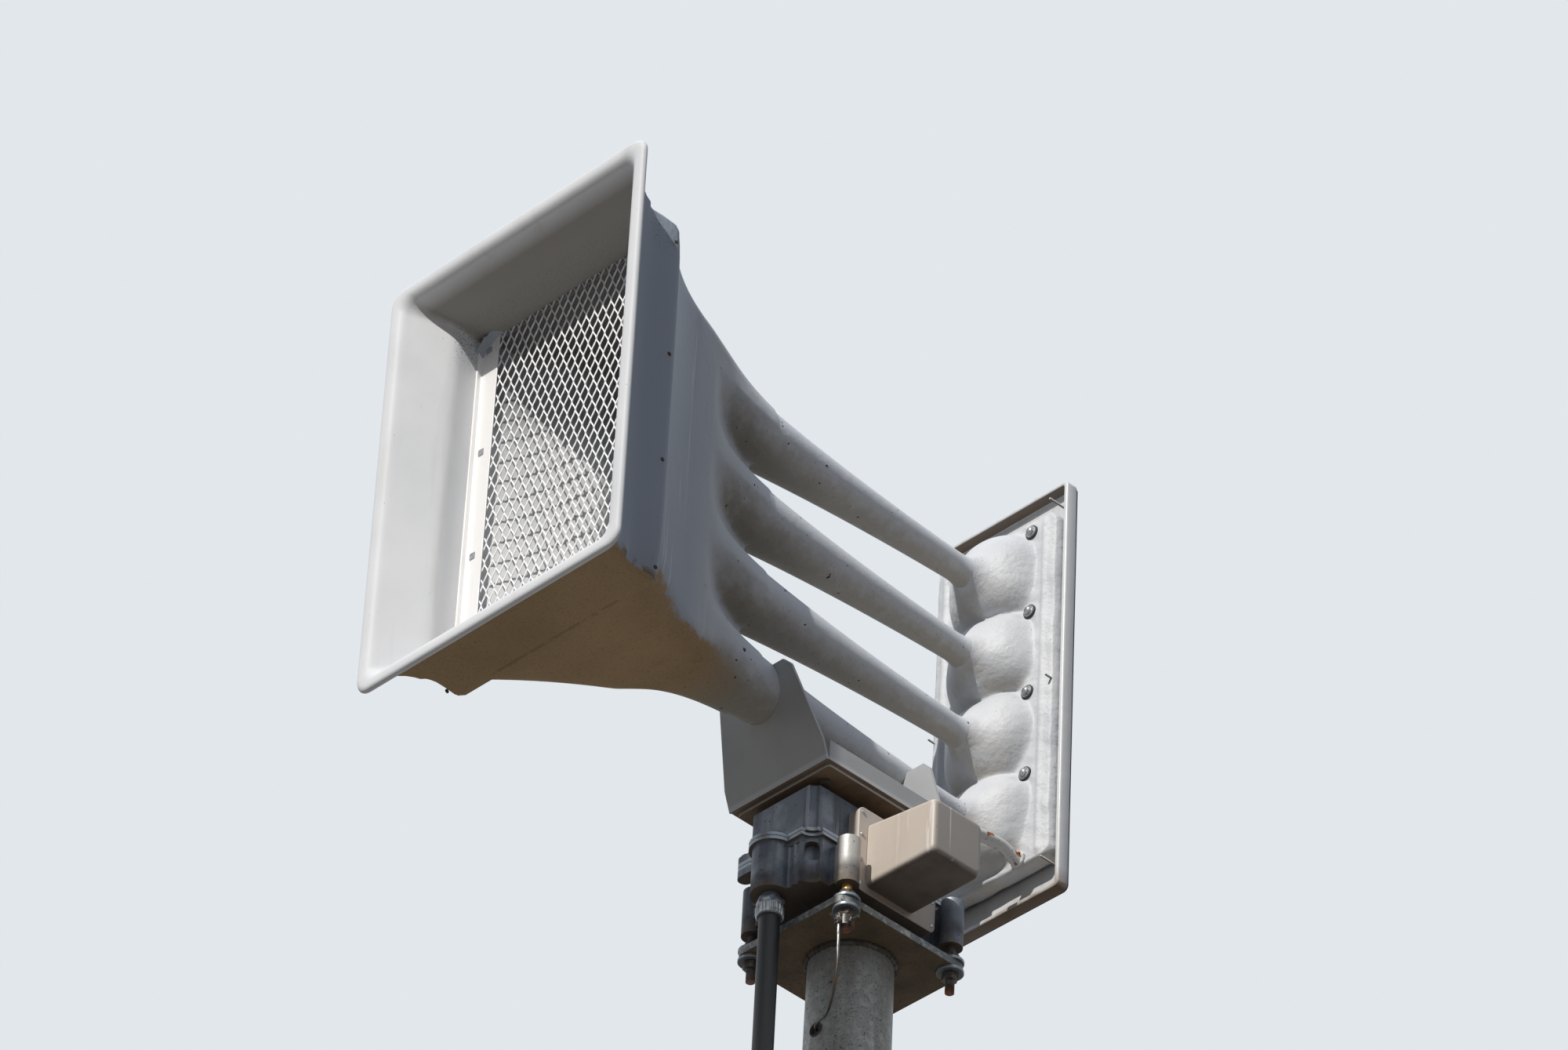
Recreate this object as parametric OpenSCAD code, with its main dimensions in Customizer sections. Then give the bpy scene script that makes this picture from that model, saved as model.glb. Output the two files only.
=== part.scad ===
// Rotating civil defense siren on a tapered steel pole.
// A rectangular horn, fed by four tapered tubes from a rear driver panel,
// turns about the pole's axis on a geared rotator.
// Origin: centre of the base plate's underside. +Z is up, the horn faces -Y.

/* [Pole] */
// height of the pole's top end above the ground
pole_h = 10150; // [6000:50:15000]
// outside diameter at the top of the tapered pole
pole_top_d = 168; // [140:1:220]
// outside diameter at the foot of the tapered pole
pole_foot_d = 286; // [230:1:360]
// wall of the pole
pole_wall = 4.8; // [3:0.2:10]
// side of the square base plate
base_w = 420; // [400:5:600]
// thickness of the base plate
base_t = 32; // [20:1:50]
// distance between neighbouring anchor holes
anchor_pitch = 320; // [300:5:480]
// diameter of the anchor holes
anchor_hole_d = 35; // [24:1:42]
// height of the middle of the handhole above the ground
handhole_z = 520; // [400:10:1200]
// clear width of the handhole
handhole_w = 100; // [80:5:120]
// clear height of the handhole
handhole_h = 165; // [120:5:250]

/* [Top plate] */
// width of the top plate, across the horn
plate_w = 300; // [280:5:400]
// length of the top plate, along the horn
plate_l = 340; // [320:5:400]
// thickness of the top plate
plate_t = 16; // [10:1:25]
// corner radius of the top plate
plate_r = 26; // [10:1:40]
// distance between the rotator's studs, across the horn
stud_pitch_x = 258; // [240:2:270]
// distance between the rotator's studs, along the horn
stud_pitch_y = 282; // [260:2:290]
// diameter of the rotator's studs
stud_d = 19; // [16:0.5:24]
// length of stud below the top plate
stud_tail = 52; // [40:1:80]

/* [Rotator] */
// height of the rotator's feet above the top plate
foot_gap = 38; // [30:1:60]
// height of the lower half of the gear case
case_low_h = 112; // [80:1:160]
// height of the upper half of the gear case
case_up_h = 107; // [80:1:160]
// width of the gear case
case_w = 184; // [160:2:240]
// reach of the gear case in front of the pole's axis
case_front = 204; // [180:2:240]
// reach of the gear case behind the pole's axis
case_rear = 150; // [145:2:200]
// radius of the wiring chamber on the front of the gear case
nose_r = 40; // [32:1:50]
// sideways place of the wiring chamber
nose_x = -16; // [-40:1:0]
// thickness of the motor's mounting flange
motor_flange_t = 30; // [20:1:40]
// width of the motor's mounting flange
motor_flange_w = 214; // [180:2:260]
// height of the motor's mounting flange
motor_flange_h = 196; // [160:2:204]
// reach of the motor cover beyond its flange
motor_l = 183; // [140:1:240]
// width of the motor cover
motor_w = 132; // [100:1:180]
// height of the motor cover
motor_h = 148; // [120:1:170]
// diameter of the turntable
turntable_d = 150; // [120:2:180]

/* [Saddle] */
// width of the saddle
saddle_w = 270; // [220:2:300]
// reach of the saddle in front of the pole's axis
saddle_front = 209; // [180:1:240]
// reach of the saddle behind the pole's axis
saddle_rear = 94; // [80:1:140]
// height of the saddle's side flanges
saddle_side_h = 46; // [30:1:60]
// thickness of the saddle's sheet
saddle_t = 6; // [4:0.5:10]
// lean of the front cradle out over its foot, in degrees
cradle_lean = 20; // [0:1:30]

/* [Horn] */
// width of the mouth, outside the lip
mouth_w = 726; // [600:2:900]
// height of the mouth, outside the lip
mouth_h = 990; // [800:2:1100]
// distance of the mouth in front of the pole's axis
mouth_y = 988; // [900:2:1100]
// width of the lip, seen from the front
lip_w = 36; // [24:1:50]
// wall of the horn
horn_wall = 6; // [4:0.5:10]
// depth of the flared rim behind the lip
rim_depth = 92; // [60:1:120]
// depth of the straight collar behind the rim
collar_depth = 84; // [60:1:120]
// width of the collar outside
collar_w = 542; // [480:2:600]
// height of the collar outside
collar_h = 872; // [760:2:960]
// half width of the body where the tubes leave it
throat_half_w = 60; // [50:1:80]
// rise of the body's underside from the collar to the tubes
floor_rise = 62; // [0:1:100]
// bulge of the body's sides beyond the collar
side_bulge = 15; // [8:1:30]
// share of the body's half width that its corners are cut by
corner_share = 0.25; // [0.1:0.01:0.35]

/* [Tubes] */
// distance between neighbouring tubes
tube_pitch = 202; // [190:1:230]
// diameter of a tube at its small end
tube_small_d = 58; // [48:1:70]
// diameter of a tube at its joint with the body
tube_large_d = 126; // [100:1:140]
// wall of a tube
tube_wall = 4; // [3:0.5:6]
// distance of the tubes' joint in front of the pole's axis
tube_joint_y = 300; // [260:2:340]

/* [Driver panel] */
// distance of the panel's face behind the pole's axis
panel_y = 356; // [320:2:400]
// width of the moulded panel
panel_w = 300; // [270:2:340]
// height of the moulded panel
panel_h = 856; // [820:2:920]
// diameter of a driver dome
dome_d = 198; // [170:1:220]
// height of a driver dome
dome_h = 68; // [50:1:90]
// width of the rear tray
tray_w = 366; // [340:2:420]
// height of the rear tray
tray_h = 1010; // [940:2:1100]
// depth of the rear tray
tray_depth = 28; // [20:1:60]

/* [Bird screen] */
// width of one mesh of the expanded metal
mesh_w = 23.4; // [18:0.1:40]
// height of one mesh of the expanded metal
mesh_h = 50.8; // [40:0.1:80]
// width of a strand of the expanded metal
strand_w = 3; // [2:0.1:5]
// thickness of the expanded metal
screen_t = 2.5; // [1.5:0.1:4]

/* [Wiring] */
// outside diameter of the conduit
conduit_d = 42; // [32:1:60]
// gap between the conduit and the pole along its straps
conduit_gap = 6; // [2:1:20]
// height above the ground where the conduit enters the pole
conduit_entry_z = 2300; // [1500:10:4000]
// diameter of the ground wire
ground_wire_d = 6; // [4:0.5:8]

/* [Hidden] */
$fn = 96;
// clearance between pieces that stand beside each other
fine = 0.3;
// radial clearance of the turning shaft in its bore
run_fit = 0.05;
// a cut runs past the face that it opens by this much
past = 1;
// a welded or moulded piece roots in the next by this much
root = 2;

// heights above the ground
boss_foot = 10;
turntable_h = 30;
saddle_to_tube = 186;
mouth_drop = 26;
collar_drop = 32;
plate_top = pole_h + plate_t;
case_z = plate_top + foot_gap + boss_foot;
seam_z = case_z + case_low_h;
case_top = seam_z + case_up_h;
saddle_z = case_top + turntable_h;
tube_low_z = saddle_z + saddle_to_tube;
tube_mid_z = tube_low_z + 1.5 * tube_pitch;
tube_top_z = tube_low_z + 3 * tube_pitch;
mouth_z = tube_mid_z - mouth_drop;
mouth_low = mouth_z - mouth_h / 2;
mouth_top = mouth_z + mouth_h / 2;
collar_z = tube_mid_z - collar_drop;
collar_low = collar_z - collar_h / 2;
collar_top = collar_z + collar_h / 2;

// places along the horn
collar_front_y = rim_depth - mouth_y;
collar_rear_y = collar_front_y + collar_depth;
tray_set_back = 18;
tray_y = panel_y + tray_set_back;

// small shapes

module rounded_rect(w, h, r) {
  union() {
    square([w - 2 * r, h], center = true);
    square([w, h - 2 * r], center = true);
    for (sx = [-1, 1], sy = [-1, 1]) {
      translate([sx * (w / 2 - r), sy * (h / 2 - r)]) circle(r = r, $fn = 48);
    }
  }
}

// a plate standing across the horn's axis, from y to y + t
module upright_plate(w, h, r, y, t, z) {
  translate([0, y + t, z]) rotate([90, 0, 0]) linear_extrude(t) rounded_rect(w, h, r);
}

module hex_prism(across, h) {
  cylinder(d = across / cos(30), h = h, $fn = 6);
}

// a body of revolution about a line along +Y at height z
module along_y(z) {
  translate([0, 0, z]) rotate([-90, 0, 0]) children();
}

// an outline in Y and Z, drawn out across the horn
module across_x(w) {
  translate([-w / 2, 0, 0]) rotate([90, 0, 90]) linear_extrude(w) children();
}

module four_corners(pitch_x, pitch_y) {
  for (sx = [-1, 1], sy = [-1, 1]) {
    translate([sx * pitch_x / 2, sy * pitch_y / 2, 0]) children();
  }
}

// pole

pole_rate = (pole_foot_d - pole_top_d) / (pole_h - base_t);
function pole_r(z) = pole_foot_d / 2 - pole_rate * (z - base_t) / 2;

base_corner_r = 30;
wire_hole_drop = 190;
wire_hole_z = pole_h - wire_hole_drop;
wire_hole_d = 24;
handhole_corner_r = 30;
handhole_rim = 12;
handhole_reach = 10;
cover_t = 3;
cover_screw = 13;
cover_screw_h = 6;
cover_screw_inset = 22;

module base_plate() {
  color([0.62, 0.63, 0.63])
  linear_extrude(base_t) difference() {
    rounded_rect(base_w, base_w, base_corner_r);
    four_corners(anchor_pitch, anchor_pitch) circle(d = anchor_hole_d);
  }
}

module handhole_outline(grow) {
  rounded_rect(handhole_w + 2 * grow, handhole_h + 2 * grow, handhole_corner_r + grow);
}

// the pole's tapered outside as a solid, grown by a clearance
module pole_outer(grow) {
  translate([0, 0, base_t])
    cylinder(r1 = pole_foot_d / 2 + grow, r2 = pole_top_d / 2 + grow, h = pole_h - base_t);
}

module pole() {
  frame_y = pole_foot_d / 2 + handhole_reach;
  color([0.66, 0.67, 0.66])
  difference() {
    union() {
      rotate_extrude() polygon([
        [pole_foot_d / 2 - pole_wall, base_t],
        [pole_foot_d / 2, base_t],
        [pole_top_d / 2, pole_h],
        [pole_top_d / 2 - pole_wall, pole_h]
      ]);
      difference() {
        translate([0, frame_y, handhole_z]) rotate([90, 0, 0])
          linear_extrude(frame_y / 2) handhole_outline(handhole_rim);
        cylinder(r = pole_r(handhole_z) - pole_wall - root / 2, h = pole_h);
      }
    }
    translate([0, frame_y + past, handhole_z]) rotate([90, 0, 0])
      linear_extrude(frame_y) handhole_outline(0);
    translate([0, 0, wire_hole_z]) rotate([90, 0, 0]) cylinder(d = wire_hole_d, h = pole_top_d);
  }
}

module handhole_cover() {
  color([0.64, 0.65, 0.65])
  translate([0, pole_foot_d / 2 + handhole_reach + cover_t, handhole_z]) rotate([90, 0, 0])
    union() {
      linear_extrude(cover_t) handhole_outline(handhole_rim);
      for (s = [-1, 1]) {
        translate([0, s * (handhole_h / 2 - cover_screw_inset), -cover_screw_h])
          hex_prism(cover_screw, cover_screw_h);
      }
    }
}

module pole_top_plate() {
  color([0.60, 0.61, 0.60])
  translate([0, 0, pole_h]) linear_extrude(plate_t) difference() {
    rounded_rect(plate_w, plate_l, plate_r);
    four_corners(stud_pitch_x, stud_pitch_y) circle(d = stud_d + stud_fit);
  }
}

// studs

stud_fit = 0.1;
nut_h = 17;
nut_across = 30;
washer_d = 54;
washer_t = 5;

module stud() {
  color([0.45, 0.35, 0.24])
  union() {
    translate([0, 0, pole_h - stud_tail]) cylinder(d = stud_d, h = plate_t + foot_gap + stud_tail);
    translate([0, 0, pole_h - washer_t]) cylinder(d = washer_d, h = washer_t);
    translate([0, 0, pole_h - washer_t - nut_h]) hex_prism(nut_across, nut_h);
    translate([0, 0, plate_top]) cylinder(d = washer_d, h = washer_t);
    translate([0, 0, plate_top + washer_t]) hex_prism(nut_across, nut_h);
  }
}

// 1 and 4 stand on the motor's side, 1 and 2 under the horn
module stud_node(i) {
  sx = (i == 1 || i == 4) ? 1 : -1;
  sy = (i == 1 || i == 2) ? -1 : 1;
  translate([sx * stud_pitch_x / 2, sy * stud_pitch_y / 2, 0]) stud();
}

// gear case

case_len = case_front + case_rear;
case_mid_y = (case_rear - case_front) / 2;
case_corner_r = 14;
nose_y = -case_front;
seam_flange_t = 8;
seam_flange_reach = 7;
flute_r = 36;
flute_out = 7.5;
small_flute_r = 7;
small_flute_pitch = 17;
small_flute_start = 0.6;
boss_d = 46;
foot_w = 26;
foot_below_seam = 24;
foot_h = case_low_h - foot_below_seam;
pocket_w = 30;
pocket_h = 44;
pocket_in = 16;
ear_r = 15;
ear_t = 24;
ear_bolt = 17;
ear_x = -case_w / 2 - 14;
ear_y = 14 - case_front;

module corner_flutes(grow) {
  for (s = [-1, 1]) {
    translate([s * (case_w / 2 + flute_out), -case_front - flute_out]) circle(r = flute_r - grow);
  }
}

module case_outline(grow) {
  difference() {
    union() {
      translate([0, case_mid_y])
        rounded_rect(case_w + 2 * grow, case_len + 2 * grow, case_corner_r + grow);
      translate([nose_x, nose_y]) circle(r = nose_r + grow);
    }
    corner_flutes(grow);
  }
}

module upper_outline() {
  difference() {
    translate([0, case_mid_y]) rounded_rect(case_w, case_len, case_corner_r);
    corner_flutes(flute_r / 3);
  }
}

// an ear on the case's side, with a bolt through the two halves
module ear(z, t) {
  translate([ear_x, ear_y, z]) union() {
    cylinder(r = ear_r, h = t);
    translate([0, -ear_r, 0]) cube([-ear_x - case_w / 2 + flute_r, 2 * ear_r, t]);
  }
}

// a recess with an arched top, that looks out of the case's corner
module corner_pocket() {
  translate([case_w / 2 + flute_out, -case_front - flute_out, seam_z - 2 * seam_flange_t - pocket_h])
    rotate([0, 0, 135]) translate([0, -pocket_w / 2, 0]) union() {
      cube([flute_r + pocket_in, pocket_w, pocket_h - pocket_w / 2]);
      translate([0, pocket_w / 2, pocket_h - pocket_w / 2]) rotate([0, 90, 0])
        cylinder(d = pocket_w, h = flute_r + pocket_in);
    }
}

module gearcase_lower() {
  foot_y = stud_pitch_y / 2;
  foot_x = case_w / 2 - root;
  color([0.50, 0.54, 0.60])
  difference() {
    union() {
      translate([0, 0, case_z]) linear_extrude(case_low_h) case_outline(0);
      translate([0, 0, seam_z - seam_flange_t]) linear_extrude(seam_flange_t)
        case_outline(seam_flange_reach);
      four_corners(stud_pitch_x, stud_pitch_y) translate([0, 0, plate_top + foot_gap])
        cylinder(d = boss_d, h = case_low_h - 2 * boss_foot / 3);
      for (sx = [-1, 1], sy = [-1, 1]) {
        translate([sx * (foot_x + stud_pitch_x / 2) / 2, sy * foot_y, case_z + foot_h / 2])
          cube([stud_pitch_x / 2 - foot_x, foot_w, foot_h], center = true);
      }
      ear(seam_z - ear_t, ear_t);
    }
    corner_pocket();
    for (i = [0 : 2]) {
      flute_x = nose_x + nose_r + small_flute_pitch * (i + small_flute_start);
      translate([flute_x, -case_front - small_flute_r / 2, case_z - past])
        cylinder(r = small_flute_r, h = case_low_h - 2 * seam_flange_t);
    }
  }
}

module gearcase_upper() {
  color([0.52, 0.56, 0.62])
  difference() {
    union() {
      translate([0, 0, seam_z]) linear_extrude(case_up_h) upper_outline();
      translate([0, 0, seam_z]) linear_extrude(seam_flange_t) case_outline(seam_flange_reach);
      ear(seam_z, ear_t);
      translate([ear_x, ear_y, seam_z + ear_t]) hex_prism(ear_bolt, ear_bolt / 2);
    }
    translate([0, 0, case_top - shaft_hole]) cylinder(d = shaft_d + 2 * run_fit, h = shaft_hole + past);
  }
}

// motor

motor_mid_y = -4;
motor_cover_y = -21;
motor_flange_r = 16;
motor_flange_z = case_z + 5 + motor_flange_h / 2;
motor_low_z = case_z + 20;
motor_root_x = case_w / 2 + motor_flange_t;
motor_slope = 22;

module motor_flange() {
  color([0.78, 0.74, 0.68])
  difference() {
    translate([case_w / 2, motor_mid_y, motor_flange_z]) rotate([90, 0, 90])
      linear_extrude(motor_flange_t) rounded_rect(motor_flange_w, motor_flange_h, motor_flange_r);
    translate([0, 0, seam_z - seam_flange_t - fine]) linear_extrude(2 * (seam_flange_t + fine))
      case_outline(seam_flange_reach + fine);
    four_corners(stud_pitch_x, stud_pitch_y) translate([0, 0, plate_top])
      cylinder(d = boss_d + 2 * fine, h = case_top - plate_top);
  }
}

module motor_cover() {
  color([0.78, 0.74, 0.69])
  translate([0, motor_cover_y + motor_w / 2, 0]) rotate([90, 0, 0]) linear_extrude(motor_w) polygon([
    [motor_root_x, motor_low_z],
    [motor_root_x + motor_l, motor_low_z],
    [motor_root_x + motor_l, motor_low_z + motor_h - motor_slope],
    [motor_root_x, motor_low_z + motor_h]
  ]);
}

// turntable and saddle

shaft_d = 60;
shaft_depth = 36;
shaft_hole = 40;
base_sheet_t = 7;
base_sheet_inset = 8;
saddle_l = saddle_front + saddle_rear;
saddle_mid_y = (saddle_rear - saddle_front) / 2;
cradle_h = 236;
rear_cradle_h = 180;
cradle_top_w = 200;
cradle_bevel = 18;
saddle_bolt = 19;
saddle_bolt_h = 11;
saddle_bolt_pitch_x = 172;
saddle_bolt_pitch_y = 224;

module turntable() {
  color([0.55, 0.57, 0.60])
  union() {
    translate([0, 0, case_top + fine])
      cylinder(d = turntable_d, h = turntable_h - base_sheet_t - fine);
    translate([0, 0, case_top - shaft_depth]) cylinder(d = shaft_d, h = shaft_depth + root);
  }
}

module saddle_base() {
  color([0.55, 0.58, 0.60])
  translate([0, saddle_mid_y, saddle_z - base_sheet_t]) linear_extrude(base_sheet_t)
    rounded_rect(saddle_w - 2 * base_sheet_inset, saddle_l - 2 * base_sheet_inset, base_sheet_inset);
}

module saddle_channel() {
  color([0.72, 0.74, 0.75])
  translate([0, saddle_rear, saddle_z]) rotate([90, 0, 0]) linear_extrude(saddle_l) difference() {
    translate([-saddle_w / 2, 0]) square([saddle_w, saddle_side_h]);
    translate([saddle_t - saddle_w / 2, saddle_t]) square([saddle_w - 2 * saddle_t, saddle_side_h]);
  }
}

module cradle_outline(h) {
  polygon([
    [-saddle_w / 2, 0],
    [saddle_w / 2, 0],
    [saddle_w / 2, saddle_side_h],
    [cradle_top_w / 2, h - cradle_bevel],
    [cradle_top_w / 2 - cradle_bevel, h],
    [cradle_bevel - cradle_top_w / 2, h],
    [-cradle_top_w / 2, h - cradle_bevel],
    [-saddle_w / 2, saddle_side_h]
  ]);
}

module front_cradle() {
  color([0.62, 0.64, 0.66])
  difference() {
    translate([0, -saddle_front, saddle_z]) rotate([90 + cradle_lean, 0, 0])
      linear_extrude(saddle_t) cradle_outline(cradle_h);
    tube_solid(tube_low_z, fine);
  }
}

module rear_cradle() {
  color([0.86, 0.87, 0.88])
  difference() {
    translate([0, saddle_rear + saddle_t, saddle_z]) rotate([90, 0, 0])
      linear_extrude(saddle_t) cradle_outline(rear_cradle_h);
    tube_solid(tube_low_z, fine);
    wire_pipe_solid(fine);
  }
}

module saddle_bolts() {
  color([0.5, 0.5, 0.5])
  translate([0, saddle_mid_y, saddle_z - base_sheet_t - saddle_bolt_h])
    four_corners(saddle_bolt_pitch_x, saddle_bolt_pitch_y) hex_prism(saddle_bolt, saddle_bolt_h);
}

// tubes: the radius grows towards the mouth by an exponential law

tube_steps = 14;
tube_power = 1.25;
root_y = 560;
dome_apex_y = panel_y - dome_h;
tube_end_y = dome_apex_y + 3 * root;
tube_rate = ln(tube_large_d / tube_small_d) / pow(tube_joint_y + tube_end_y, tube_power);
function tube_r(y) = tube_small_d / 2 * exp(tube_rate * pow(max(0, tube_end_y - y), tube_power));

module tube_profile(y0, y1, grow) {
  rotate_extrude() polygon(concat(
    [[0, y0]],
    [for (i = [0 : tube_steps]) let (y = y0 + (y1 - y0) * i / tube_steps) [tube_r(y) + grow, y]],
    [[0, y1]]
  ));
}

// one whole tube as a solid, grown by a clearance
module tube_solid(z, grow) {
  along_y(z) tube_profile(-2 * tube_joint_y, tube_end_y, grow);
}

// tube 1 is the top one
module horn_tube(i) {
  z = tube_low_z + (4 - i) * tube_pitch;
  color([0.80, 0.81, 0.82])
  along_y(z) difference() {
    tube_profile(-tube_joint_y, tube_end_y, 0);
    tube_profile(-tube_joint_y - past, tube_end_y + past, -tube_wall);
  }
}

// horn body: a half width by an exponential law, a top and a floor that bend to the tubes,
// and corners cut at 45 degrees by a share of the half width

flare_steps = 18;
nose_run = 40;
flare_y = -nose_run - tube_joint_y;
top_bend_l = 200;
low_bend_l = 220;
web_y = -tube_joint_y - nose_run / 2;
nose_front_y = flare_y - nose_run;
nose_l = 52;
crotch_r = tube_pitch / 2 - tube_r(-tube_joint_y);
collar_half = collar_w / 2;
flare_rate = ln((collar_half + side_bulge) / throat_half_w) / (flare_y - collar_rear_y);
tubes_top_z = tube_top_z + tube_r(flare_y) - 2 * root;
tubes_low_z = tube_low_z - tube_r(flare_y) + 2 * root;
nose_steps = 6;

function body_half_w(y) = min(collar_half + side_bulge, throat_half_w * exp(flare_rate * (flare_y - y)));

function body_top(y) = let (t = max(0, (y - web_y) / top_bend_l + 1))
  tubes_top_z + (collar_top - tubes_top_z) * (1 - t * t);

function body_low(y) =
  let (
    t = min(1, max(0, (flare_y - y) / low_bend_l)),
    bend_end_y = flare_y - low_bend_l,
    run = min(1, max(0, (bend_end_y - y) / (bend_end_y - collar_rear_y)))
  )
  tubes_low_z - (tubes_low_z - collar_low - floor_rise) * t * t - floor_rise * run;

// the cut grows from nothing at the rim to its full share at the collar's rear
function corner_cut(y) = corner_share * body_half_w(y)
  * min(1, max(0, (y - collar_front_y) / collar_depth));

// places along the body, from the rim to the tubes
function body_y(i, extra) = collar_front_y - extra + (web_y - collar_front_y + extra) * i / flare_steps;

module body_plan(shrink, extra) {
  side = [for (i = [0 : flare_steps]) let (y = body_y(i, extra)) [body_half_w(y) - shrink, y]];
  nose = [for (i = [0 : nose_steps]) let (a = 90 * i / nose_steps) [
    (body_half_w(nose_front_y) - shrink) * cos(a),
    nose_front_y + (nose_l - shrink) * sin(a)
  ]];
  right = concat([for (p = side) if (p[1] < nose_front_y) p], nose);
  polygon(concat(right, [for (i = [len(right) - 2 : -1 : 0]) [-right[i][0], right[i][1]]]));
}

module body_side(shrink, extra) {
  difference() {
    polygon(concat(
      [for (i = [0 : flare_steps]) let (y = body_y(i, extra)) [y, body_top(y) - shrink]],
      [for (i = [flare_steps : -1 : 0]) let (y = body_y(i, extra)) [y, body_low(y) + shrink]]
    ));
    for (i = [0 : 2]) {
      translate([web_y + crotch_r / 2, tube_low_z + (i + 0.5) * tube_pitch]) circle(r = crotch_r + shrink);
    }
  }
}

// the corner cuts, as an outline across one diagonal of the body
module body_diagonal(shrink, extra, side) {
  reach = [for (i = [0 : flare_steps]) let (y = body_y(i, extra), w = body_half_w(y) - corner_cut(y)) [
    (w + body_top(y) - collar_z) * cos(45) - shrink,
    (w + collar_z - body_low(y)) * cos(45) - shrink
  ]];
  polygon(concat(
    [for (i = [0 : flare_steps]) [side * reach[i][0], body_y(i, extra)]],
    [for (i = [flare_steps : -1 : 0]) [-side * reach[i][1], body_y(i, extra)]]
  ));
}

module body_shape(shrink, extra) {
  size = collar_w + collar_h;
  union() {
    intersection() {
      translate([0, 0, collar_low - past]) linear_extrude(collar_h + 2 * past) body_plan(shrink, extra);
      across_x(size) body_side(shrink, extra);
      translate([0, 0, collar_z]) rotate([0, -45, 0]) translate([0, 0, -size / 2])
        linear_extrude(size) body_diagonal(shrink, extra, 1);
      translate([0, 0, collar_z]) rotate([0, 45, 0]) translate([0, 0, -size / 2])
        linear_extrude(size) body_diagonal(shrink, extra, -1);
    }
    for (i = [0 : 3]) {
      along_y(tube_low_z + i * tube_pitch) tube_profile(-root_y, extra - tube_joint_y, -shrink);
    }
  }
}

module horn_body() {
  color([0.80, 0.81, 0.82])
  difference() {
    body_shape(0, 0);
    body_shape(horn_wall, past);
    translate([0, collar_front_y + collar_depth / 2, collar_z])
      cube([collar_w, collar_depth, collar_h], center = true);
  }
}

// horn rim

lip_t = 14;
lip_r = 26;
lip_inner_r = 16;
screen_seat = 22;

// a four-sided funnel between two rectangles, as a solid
module funnel(y0, half0, low0, top0, y1, half1, low1, top1) {
  intersection() {
    translate([0, 0, low0]) linear_extrude(top0 - low0)
      polygon([[-half0, y0], [half0, y0], [half1, y1], [-half1, y1]]);
    across_x(2 * half0) polygon([[y0, low0], [y0, top0], [y1, top1], [y1, low1]]);
  }
}

module horn_rim() {
  funnel_y = lip_t / 2 - mouth_y;
  clear_w = collar_w - 2 * horn_wall;
  clear_h = collar_h - 2 * horn_wall;
  inset = lip_w - horn_wall;
  color([0.92, 0.92, 0.92])
  difference() {
    union() {
      upright_plate(mouth_w, mouth_h, lip_r, -mouth_y, lip_t, mouth_z);
      funnel(
        funnel_y, mouth_w / 2 - inset, mouth_low + inset, mouth_top - inset,
        collar_front_y, body_half_w(collar_front_y), collar_low, collar_top
      );
      translate([0, collar_rear_y - collar_depth / 2 - root / 2, collar_z])
        cube([collar_w, collar_depth + root, collar_h], center = true);
    }
    upright_plate(
      mouth_w - 2 * lip_w, mouth_h - 2 * lip_w, lip_inner_r,
      -mouth_y - past, lip_t + past, mouth_z
    );
    funnel(
      lip_t - mouth_y - past / 100, mouth_w / 2 - lip_w, mouth_low + lip_w, mouth_top - lip_w,
      collar_front_y, clear_w / 2, collar_low + horn_wall, collar_top - horn_wall
    );
    translate([0, (collar_front_y + collar_rear_y - horn_wall) / 2 - root / 2, collar_z])
      cube([clear_w, collar_depth - horn_wall + root, clear_h], center = true);
    translate([0, collar_rear_y, collar_z])
      cube([clear_w - 2 * screen_seat, 3 * horn_wall, clear_h - 2 * screen_seat], center = true);
  }
}

// bird screen

screen_gap = 2;
screen_w = collar_w - 2 * horn_wall - 2 * screen_gap;
screen_h = collar_h - 2 * horn_wall - 2 * screen_gap;
screen_y = collar_rear_y - horn_wall - screen_t - fine;
strip_w = 38;
strip_t = 3;

// each strip is an angle in the corner between the collar and the screen
module screen_frame() {
  wall_x = collar_w / 2 - horn_wall - fine;
  color([0.85, 0.86, 0.87])
  for (s = [-1, 1]) {
    translate([s * (wall_x - strip_t / 2), screen_y - fine - strip_w / 2, collar_z])
      cube([strip_t, strip_w, screen_h], center = true);
    translate([s * (wall_x - strip_w / 2), screen_y - fine - strip_t / 2, collar_z])
      cube([strip_w, strip_t, screen_h], center = true);
  }
}

module mesh_diamond() {
  polygon([
    [mesh_w / 2 - strand_w / 2, 0],
    [0, mesh_h / 2 - strand_w],
    [strand_w / 2 - mesh_w / 2, 0],
    [0, strand_w - mesh_h / 2]
  ]);
}

// side is -1 for the half at -X and 1 for the half at +X
module screen_half(side) {
  cols = floor(screen_w / 2 / mesh_w);
  rows = floor(screen_h / mesh_h);
  color([0.80, 0.81, 0.82])
  translate([0, screen_y + screen_t, collar_z]) rotate([90, 0, 0]) linear_extrude(screen_t) difference() {
    translate([side > 0 ? 0 : -screen_w / 2, -screen_h / 2]) square([screen_w / 2, screen_h]);
    for (i = [0 : cols - 1], j = [0 : rows - 1]) {
      translate([side * (i + 0.5) * mesh_w, (j - (rows - 1) / 2) * mesh_h]) mesh_diamond();
    }
    for (i = [1 : cols - 1], j = [0 : rows]) {
      translate([side * i * mesh_w, (j - rows / 2) * mesh_h]) intersection() {
        mesh_diamond();
        translate([0, -(j - rows / 2) * mesh_h]) square([2 * mesh_w, screen_h - strand_w], center = true);
      }
    }
  }
}

// driver panel and tray

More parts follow.
